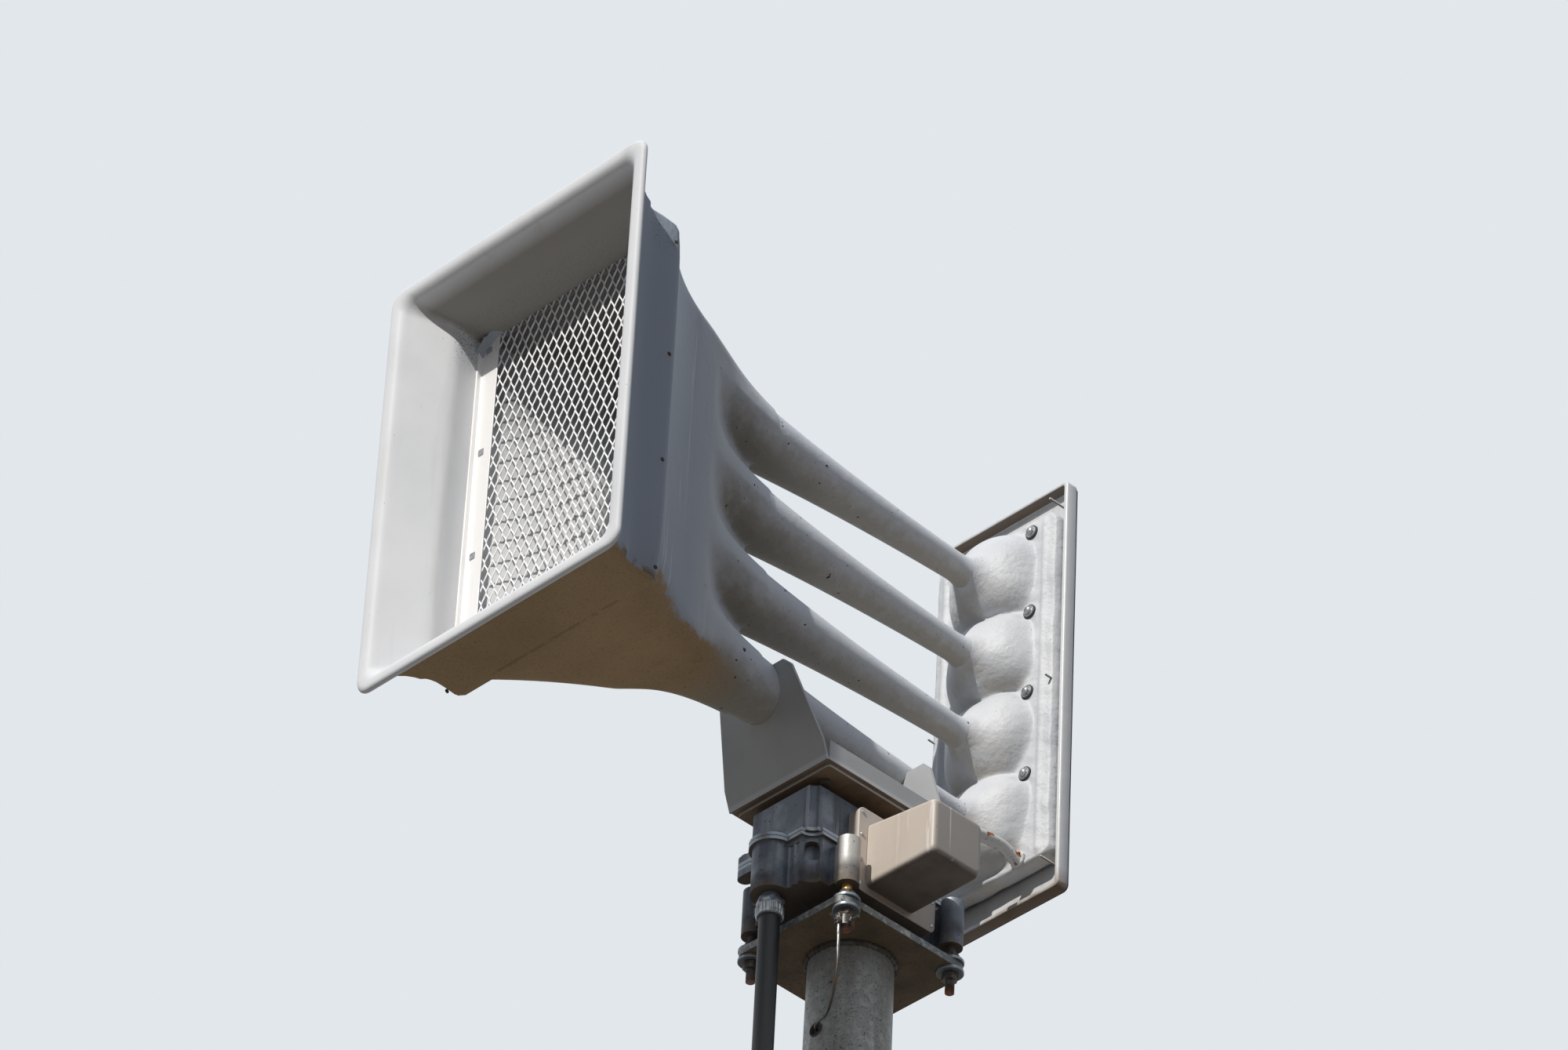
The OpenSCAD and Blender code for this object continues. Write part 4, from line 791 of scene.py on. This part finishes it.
# %% Collar's swell and corners
COLLAR_HALF_W, COLLAR_HALF_H = 272, 437
CHIP, CHIP_LENGTH = 2.0, 23
collar = sections[4:len(rim_out)]
share = np.abs(collar[..., 2] - HORN_MID) / COLLAR_HALF_H
bulge = np.array([9, 13.5, 16, 17, 17, 16.4, 15, 12.6])[:, None]
sideways = (np.abs(collar[..., 0]) / COLLAR_HALF_W) ** 3
collar[..., 0] += np.sign(collar[..., 0]) * bulge * (1 - share.clip(0, 1) ** 8) * sideways
cornered = ((np.abs(collar[..., 0]) - 245) / 20).clip(0, 1) * ((share - 0.93) / 0.04).clip(0, 1)
collar += (rough(collar, CHIP, CHIP_LENGTH) - collar) * cornered[..., None]
ring = skin(np.vstack([sections, sections[:1]]))
piece("rim_moulding", ring, lip_coat, HEAD, ["horn_rim"], sharp=38)
print("collar swells by up to", bulge.max(), "mm")

# %% [markdown]
# ## The throat
# Through the bird screen the throat shows as smooth white gelcoat with a sharp shadow on it. On the real horn it is
# the inside of the body's own moulding. Here it is a thin white sheet of carried sections just inside the body,
# because the body's skin has one finish for both of its sides. Its points are drawn in towards the middle line
# until all of them are 9 mm inside the field, so it never breaks through.

# %% Throat liner
LINER_GAP = 9
liner = carried_along_y([
    (264, 10492, 11346, 12, -815.5), (239, 10494, 11345.5, 14, -815.5), (236, 10495, 11345, 16, -813),
    (228, 10497, 11344, 20, -795), (214, 10503, 11342, 28, -764), (199, 10509, 11340, 36, -730),
    (186, 10515, 11337, 42, -702), (176, 10520, 11334, 44, -680), (158, 10528, 11330, 50, -648),
    (142, 10536, 11324, 56, -614), (128, 10544, 11318, 60, -578)])
for _ in range(4):
    over = (horn_field(*liner[1:].reshape(-1, 3).T) + LINER_GAP).clip(0).reshape(len(liner) - 1, -1)
    inward = liner[1:] - np.array([0, 0, HORN_MID])
    inward[..., 1] = 0
    liner[1:] -= inward / np.linalg.norm(inward, axis=-1)[..., None] * over[..., None]
walled(piece("throat_liner", skin(liner), liner_coat, HEAD, sharp=60, mend=False), 1.5, 0)
print("the liner runs from y =", liner[0, 0, 1], "to", liner[-1, 0, 1])

# %% [markdown]
# ## Bird screen
# The screen is expanded metal: slit sheet that is pulled open, so that each strand zigzags between its neighbours
# and touches them at the bonds. Each strand here is one ribbon of four-cornered sections along a zigzag. It rests
# for a few millimetres at every bond and leans out of the sheet between them, as the pulled strand does.

# %% Bird screen
SCREEN_Y, MESH_W, MESH_H = -819.6, 23.4, 50.8
STRANDS, STRAND_HALF_W, STRAND_HALF_T, STRAND_LEAN = 22, 1.55, 0.7, 34


def zigzag(z):
    """A wave of +1 and -1 with straight flanks and flat peaks: 1.35 times a triangle wave, cut at 1."""
    phase = (z / MESH_H) % 1.0
    return np.clip(1.35 * (1 - 4 * np.abs(phase - 0.5)), -1, 1)


def screen_half(side):
    """Strand k runs at x = (k + 1/2) W / 2 and swings W / 4 to each side, every other strand in opposite phase."""
    half = 8 * MESH_H
    z = np.arange(-half - 19, half + 20, MESH_H / 8)
    wave = zigzag(z)
    lean = np.radians(STRAND_LEAN) * (1 - np.abs(wave))
    across = np.stack([np.cos(lean), np.sin(lean), 0 * z], 1) * STRAND_HALF_W
    thick = np.stack([-np.sin(lean), np.cos(lean), 0 * z], 1) * STRAND_HALF_T
    parts = []
    for k in range(STRANDS):
        x = side * ((k + 0.5) * MESH_W / 2 + (-1) ** k * wave * MESH_W / 4)
        centre = np.stack([x, 0 * z + SCREEN_Y, z + HORN_MID], 1)
        corners = [centre + a * across + t * thick for a, t in ((-1, -1), (1, -1), (1, 1), (-1, 1))]
        parts.append(skin(np.stack(corners, 1), ends=True))
    edge = np.array([(257, -1, -428), (263, -1, -428), (263, -1, 428), (257, -1, 428)], float) * [side, 1, 1]
    parts.append(skin(np.stack([edge, edge + [0, 2, 0]]) + [0, SCREEN_Y, HORN_MID], ends=True))
    return joined(*parts)


for side, name in ((-1, "screen_left"), (1, "screen_right")):
    half = screen_half(side)
    piece(name + "_mesh", half, screen_metal, HEAD, [name], sharp=30)
print("faces in one half of the screen:", len(half[1]))

# %% [markdown]
# ## Strips and screws
# The screen is held by bright aluminium angles in the corners of the collar: a wide leg in front of the screen's
# edge and a short one on the collar's wall. Each is its L-shaped section carried up, with rounded edges that catch
# light. Square clips sit on them, each in front of a small screw that it hides, and screws round the collar hold the
# two mouldings together. A screw is a turned profile. Its dome shows on the collar's top and +X side only.

# %% Strips and screws
l_section = np.array([(264.8, -836), (264.8, -821.2), (217, -821.2), (216.2, -822), (216.2, -823.6), (217, -824.4),
                      (260.4, -824.4), (261.6, -825.6), (261.6, -835.2), (262.4, -836)])
heights = (10491, 10492, 10493, 10700, 10920, 11140, 11347, 11348, 11349)
strips = []
for side in (1, -1):
    outline = l_section[::side] * [side, 1]
    strips.append(skin([np.insert(outline, 2, z, axis=1) for z in heights], ends=True))
piece("screen_strips", joined(*strips), bright, HEAD, ["screen_frame"], sharp=30)


def screw(place, axis, out, radius=6.0, height=3.6):
    """A screw head: a foot at -out, an edge at 0.3 out and a dome of r cos(a), h sin(a) along the axis. The dome
    always points along +axis, so with out = -1 it is sunk in what carries the screw, and at most its edge shows."""
    a = np.linspace(0.25, np.pi / 2 - 0.12, 5)
    profile = [(radius * 0.96, -1.0 * out), (radius, 0.3 * out)]
    profile += [(radius * np.cos(t), height * np.sin(t)) for t in a]
    return turned(profile, place, axis, steps=18)


heads = [screw((side * 288.5, -822, z), 0, side, 4.6, 3.0) for side in (-1, 1) for z in (10499, 10756, 11013, 11292)]
heads += [screw((side * x, -822, z), 2, up, 6.5)
          for side in (-1, 1) for x in (70, 200) for z, up in ((10484, -1), (11358, 1))]
piece("seam_screws", joined(*heads), rusty, HEAD)

clips = []
for side in (-1, 1):
    for z in (10544, 10800, 11056, 11312):
        clips.append(screw((side * 243, -824.3, z), 1, -1, 5.0, 3.0))
        clips.append(turned([(9.6, 0), (10, 0.4), (10, 1.6), (9.4, 2.0)], (side * 243, -826, z), 1, 4, 14.5, 24))
piece("strip_screws", joined(*clips), zinc, HEAD)
print("screws on the rim:", len(heads))

# %% [markdown]
# ## Driver panel
# The rear panel is laid up by hand, with one blister over each sound driver. Its front is a height over X and Z:
# four caps joined by a smooth maximum, a fillet where each tube goes in, a dimple round each bolt, a ridge down
# each side, and a slow waviness. The grid is a little larger than the panel; points beyond the rounded outline
# slide to its edge and go back, which makes the side walls from the same grid.

# %% Driver panel
BOLT_X, BOLT_UP = 106, 96
PANEL_Y, PANEL_MID = 356, 10956
PANEL_HALF_W, PANEL_HALF_H, PANEL_CORNER = 145, 404, 24


def panel_height(x, z):
    """Height of the front over the flat, in millimetres: pillows 88 (1 - (rho/120)^3)^0.7 - 20 with rho =
    (|x|^2.6 + |z|^2.6)^(1/2.6), a fillet that dies away from each tube as 34 e^(-(d - 29)/15), a dimple pulled
    down to 3 round each bolt, a ridge down each side, and the waviness of cloth laid by hand."""
    h = 1.3 * np.sin(x / 17 + z / 31) + 1.2 * np.sin(z / 23 - x / 41 + 1) + 0.7 * np.sin(z / 9 + x / 13)
    for number, tube_z in enumerate(TUBE_Z):
        up = z - tube_z - 12
        turn = np.arctan2(up, x)
        lump = 1 + 0.03 * np.sin(3 * turn + number) + 0.02 * np.sin(5 * turn + 2 * number)
        rho = (np.abs(x) ** 2.6 + np.abs(up) ** 2.6) ** (1 / 2.6) / lump
        dome = 88 * np.maximum(0, 1 - (rho / 120) ** 3) ** 0.7 - 20
        mix = np.clip(0.5 + 0.5 * (dome - h) / 16, 0, 1)
        h = h * (1 - mix) + dome * mix + 16 * mix * (1 - mix)
        d = np.hypot(x, z - tube_z)
        h = h + 34 * np.exp(-np.maximum(d - NARROW_R, 0) / 15) * (d < 110)
    for tube_z in TUBE_Z:
        pulled = step((27 - np.hypot(np.abs(x) - BOLT_X, z - tube_z - BOLT_UP)) / 12)
        h = h * (1 - pulled) + 3 * pulled
    ridge = 6 * np.exp(-((np.abs(x) - 141) / 7) ** 2) * step((424 - np.abs(z - PANEL_MID)) / 20)
    return np.maximum(h, ridge + 0.3 * h) - 4 * step((np.abs(x) - 150) / 18)


u, v = np.meshgrid(np.arange(-184, 185, 4.0), np.arange(-444, 445, 4.0), indexing="ij")
qx, qz = np.abs(u) - PANEL_HALF_W, np.abs(v) - PANEL_HALF_H
reach = np.hypot(qx.clip(0), qz.clip(0))
beyond = reach + np.minimum(np.maximum(qx, qz), 0) - PANEL_CORNER
reach = np.maximum(reach, 1e-6)
x = u - beyond.clip(0) * qx.clip(0) / reach * np.sign(u)
z = v - beyond.clip(0) * qz.clip(0) / reach * np.sign(v) + PANEL_MID
edge = 5 * (1 - np.sqrt(1 - np.clip(beyond / 5 + 1, 0, 1) ** 2))
y = PANEL_Y - panel_height(x, z) + edge + np.clip(beyond * 3, 0, 30)
face = skin(np.stack([x, y, z], 2), ring=False)
walled(piece("panel_face", face, panel_coat, HEAD, ["driver_panel"], sharp=60), 4)
print("panel stands out by", round(float(PANEL_Y - y.min())), "mm at the tubes")

# %% [markdown]
# ## Tray, cover and bolts
# A shallow white tray stands round the panel, with a thin rounded lip and six bare studs, and a dark cover closes
# its back. The panel is held by eight domed bolts on large washers. Under each washer a dark ring paints the shade
# and dirt in the dimple round the bolt. All of them are turned or carried sections, as the real ones are spun,
# drawn or rolled.

# %% Tray, cover and bolts
tray = carried_along_y([(183 - i, 10453 + i, 11463 - i, 14 - min(i, 9), y) for i, y in (
    (3, 402), (0.8, 401.4), (0, 399.5), (0, 378), (0.8, 375.6), (2.6, 374.3), (5, 374), (8, 374.1), (10, 375),
    (11, 377), (11.4, 380), (11.6, 393), (13, 396.6), (16, 398))])
studs = [turned([(1.6, 342), (2.4, 343), (2.4, 399)], (side * 164, 0, 10958 + k * 445), 1, steps=16)
         for side in (-1, 1) for k in (-1, 0, 1)]
piece("tray_pan", joined(skin(tray, ends=True), *studs), tray_coat, HEAD, ["rear_tray"])
cover = carried_along_y([(180 - i, 10456 + i, 11460 - i, 14 - min(i, 9), y) for i, y in (
    (9, 402), (1.5, 402), (0, 403.2), (0, 406.6), (1.4, 408), (12, 408), (13, 407.2), (15, 407.2))])
piece("back_cover", skin(cover, ends=True), dark_gasket, HEAD, ["rear_cover"])
bolts, rings = [], []
dome = [(8.4, 0), (8.4, -6)] + [(8.4 * math.cos(t), -6 - 5 * math.sin(t)) for t in (0.3, 0.6, 0.9, 1.2, 1.45)]
for side in (-1, 1):
    for tube_z in TUBE_Z:
        spot = (side * BOLT_X, 350.5, tube_z + BOLT_UP)
        # a dark ring under each washer: painted shade and dirt in the dimple round the bolt
        rings.append(turned([(15.6, 6), (15.6, -1.0), (14.8, -1.6), (12, -1.6)], spot, 1, steps=28))
        bolts.append(turned([(13, 4), (13, -2.4), (12, -3.4), (8.5, -3.6)], spot, 1, steps=28))
        bolts.append(turned(dome, spot, 1, steps=24))
piece("bolt_shade_rings", joined(*rings), dark_gasket, HEAD)
piece("panel_bolt_heads", joined(*bolts), zinc, HEAD, ["panel_bolts"])
print("bolts:", len(bolts) // 2)

# %% [markdown]
# ## Saddle and wire pipe
# The head rests on a saddle of folded sheet: a base sheet, a channel with two side flanges, and an upright cradle
# at each end that is cut to the lowest tube. These are plain folded shapes, so copies of the solids with broken
# edges are enough. The wire pipe is one bend, with a bead of resin where it meets the panel.

# %% Saddle and wire pipe
softened("turntable", 2.0, cast, HEAD)
for name, width in (("saddle_base", 1.5), ("saddle_channel", 1.6), ("front_cradle", 1.2), ("rear_cradle", 1.2)):
    softened(name, width, saddle_paint, HEAD)
put_on(rusty, "saddle_bolts")
PIPE_X, PIPE_R = 90, 13
LOW_Y, LOW_Z, END_Y, END_Z = 74.0, 10499.0, 356.0, 10557.0
lean = 2 * math.atan2(END_Z - LOW_Z, END_Y - LOW_Y)
bend_r = (END_Y - LOW_Y) / math.sin(lean)
t = np.linspace(lean, 0, 28)
y = END_Y - bend_r * np.sin(t)
z = END_Z - bend_r * (1 - np.cos(t)) - 26 * step((y - 300) / 80)
pipe = tube_along(np.stack([PIPE_X + 0 * y, y, z], 1), PIPE_R, 20)
piece("wire_pipe_bend", pipe, pipe_coat, HEAD, ["wire_pipe"], sharp=60)
a = circle(40)
bead = np.stack([PIPE_X + 15 * np.cos(a), 353 + 0 * a, 10545 + 15 * np.sin(a)], 1)
bead = tube_along(np.vstack([bead, bead[:2]]), 4 + 0.7 * np.sin(5 * np.r_[a, a[:2]]), 8)
piece("pipe_bead", bead, pipe_coat, HEAD)
print("saddle dressed")

# %% [markdown]
# ## Rotator
# The gear case is a casting in two halves. Its solids already have the flutes, the seam flange, the pocket and
# the ear, so they only need softer edges. The motor cover is a deep-drawn box: a rounded section carried along X
# that closes in at its end. Its end face stays plain.

# %% Rotator
for name in ("gearcase_lower", "gearcase_upper"):
    softened(name, 2.6, cast, MAST, segments=3)
softened("motor_flange", 2.5, beige, MAST, segments=3)
box_stations = [(62, 10238, 10378, 10, 122.2), (65.5, 10234.4, 10382, 13, 123), (66, 10234, 10382, 13, 126)]
box_stations += [(66, 10234, 10382 - 22 * t, 13, 122 + 183 * t) for t in (0.3, 0.6, 0.9, 0.92)]
box_stations += [(65.4, 10234.6, 10360.6, 13, 295), (63.8, 10236.2, 10358.6, 12.4, 299.4),
                 (61, 10239, 10355.4, 11, 303), (57.4, 10242.6, 10351.6, 9.4, 304.8), (54, 10246, 10348, 8, 305)]
box = carried_along_y(box_stations, corner=10)
box = np.stack([box[..., 1], -21 - box[..., 0], box[..., 2]], 2)
piece("motor_box", skin(box, ends=True), beige, MAST, ["motor_cover"])
spots = [(y, z) for y in (-101, 93) for z in (10236, 10290, 10350, 10402)] + [(-40, 10405), (30, 10405)]
motor_screws = joined(*[screw((122, y, z), 0, 1, 4.5, 3) for y, z in spots])
piece("motor_screws", motor_screws, zinc, MAST)
print("rotator dressed")

# %% [markdown]
# ## Studs, clamp, gland and weld
# The rotator stands on four threaded studs. A nut is a turned profile whose radius is cut to a hexagon, so that
# the chamfer and the flats meet in the curve seen on real nuts. The thread is a profile that goes in and out. The
# gland's ring nut has grips, which are a square-edged wave round its rim. The weld under the plate is a bead whose
# thickness changes from place to place, as one laid by hand does.

# %% Studs
STUD_X, STUD_Y = 129, 141


def nut(place, low, high, across, axis=2):
    """A hexagon nut: chamfered at both ends from the across-corners radius down to the flats' circle."""
    flat = across / 2
    corner, slope = flat / math.cos(math.pi / 6), 0.14 * flat
    profile = [(flat * 0.55, low), (flat * 0.93, low), (corner, low + slope), (corner, high - slope),
               (flat * 0.93, high), (flat * 0.55, high)]
    return turned(profile, place, axis, 6, across)


thread_z = np.arange(10099.2, 10146, 1.0)
thread = [(7.2, 10098)] + [(9.5 - 0.9 * (k % 2), z) for k, z in enumerate(thread_z)]
for i, (sx, sy) in enumerate(((1, -1), (-1, -1), (-1, 1), (1, 1)), 1):
    spot = (sx * STUD_X, sy * STUD_Y, 0)
    parts = [turned(thread + [(9.5, 10147), (9.5, 10204)], spot, steps=20), nut(spot, 10128, 10143, 30),
             nut(spot, 10173, 10188, 30)]
    piece(f"stud_{i}_threaded", joined(*parts), rusty, MAST, [f"stud_{i}"], sharp=32)
    washers = [turned([(9, 10143.2), (25.6, 10143), (27, 10144.4), (27, 10148.8), (26, 10150), (9, 10150)], spot),
               turned([(9, 10166), (26, 10166), (27, 10167.2), (27, 10171.6), (25.6, 10173), (9, 10173)], spot)]
    piece(f"stud_{i}_washers", joined(*washers), blue_zinc, MAST, sharp=32)
sleeve = turned([(9, 10188), (10.6, 10188.4), (10.6, 10206), (9, 10206.4)], (STUD_X, -STUD_Y, 0))
piece("near_stud_sleeve", sleeve, brass, MAST)
print("thread has", len(thread_z) // 2, "turns")

# %% Clamp and ferrule
softened("ground_clamp", 1.4, clamp_metal, MAST)
front, aside = (STUD_X, 0, 10117), (0, -146, 10112)
clamp = [nut(front, -168, -161, 11, 1), turned([(2.6, -182), (3, -181), (3, -160)], front, 1, steps=16),
         nut(aside, 148, 154, 11, 0), turned([(3, 142), (3, 168), (2.2, 170)], aside, 0, steps=16)]
piece("clamp_bolts", joined(*clamp), clamp_metal, MAST)
ferrule = turned([(3.2, 10106), (5.4, 10106.6), (5.4, 10123), (3.2, 10124)], (STUD_X, -159, 0), steps=20)
piece("wire_ferrule", ferrule, brass, MAST)
print("clamp made of", len(clamp), "small parts and its body")

# %% Conduit gland
GLAND, GRIPS = (-16, -204, 0), 24
band = turned([(22, 10164), (26.6, 10164.6), (27, 10166), (27, 10184), (26.6, 10185.4), (22, 10186)], GLAND, steps=144)
spoke = band[0][:, :2] - GLAND[:2]
wave = np.sin(GRIPS * np.arctan2(spoke[:, 1], spoke[:, 0]))
band[0][:, :2] = GLAND[:2] + spoke * (1 + 0.035 * np.sign(wave) * np.abs(wave) ** 0.5)[:, None]
piece("gland_band", band, zinc, MAST, sharp=32)
gland = [turned([(20, 10162), (25, 10162.6), (25, 10165)], GLAND),
         turned([(24, 10184), (25, 10186), (25, 10190), (23, 10192)], GLAND),
         nut(GLAND, 10191, 10204, 50), turned([(19, 10200), (19, 10214)], GLAND)]
piece("gland_fitting", joined(*gland), blue_zinc, MAST, ["conduit_gland"], sharp=32)
print("gland ring has", GRIPS, "grips")

# %% Weld and grommet
WELD_R = 86
a = np.linspace(0, 2 * np.pi, 241)
bead_r = 6 + 0.8 * np.sin(47 * a) + 0.5 * np.sin(31 * a + 1)
weld_path = np.stack([WELD_R * np.cos(a), WELD_R * np.sin(a), 10146 + 0.8 * np.sin(9 * a)], 1)
piece("pole_weld", tube_along(weld_path, bead_r, 10), weld_zinc, MAST)
grommet = turned([(11, -80), (11.6, -86), (13.5, -87.6), (15.5, -86.6), (16, -84), (16, -79)],
                 (0, 0, 9960), 1, steps=32)
piece("wire_grommet", grommet, dark_gasket, MAST)
print("weld bead is", round(2 * float(bead_r.max()), 1), "mm thick at most")

# %% [markdown]
# ## Pole, plates and conduit
# The pole and the conduit keep their solids, which are already round, and get their finish. The plates, the
# handhole cover and the entry box have edges that catch light, so they are softened copies.

# %% Pole, plates and conduit
put_on(galvanised, "pole")
put_on(conduit_grey, "conduit")
put_on(zinc, *[f"strap_{i}" for i in range(1, 6)])
softened("pole_top_plate", 1.8, plate_zinc, MAST, segments=3)
softened("base_plate", 2.5, plate_zinc, MAST)
softened("handhole_cover", 1.0, galvanised, MAST)
softened("conduit_entry", 1.5, zinc, MAST)
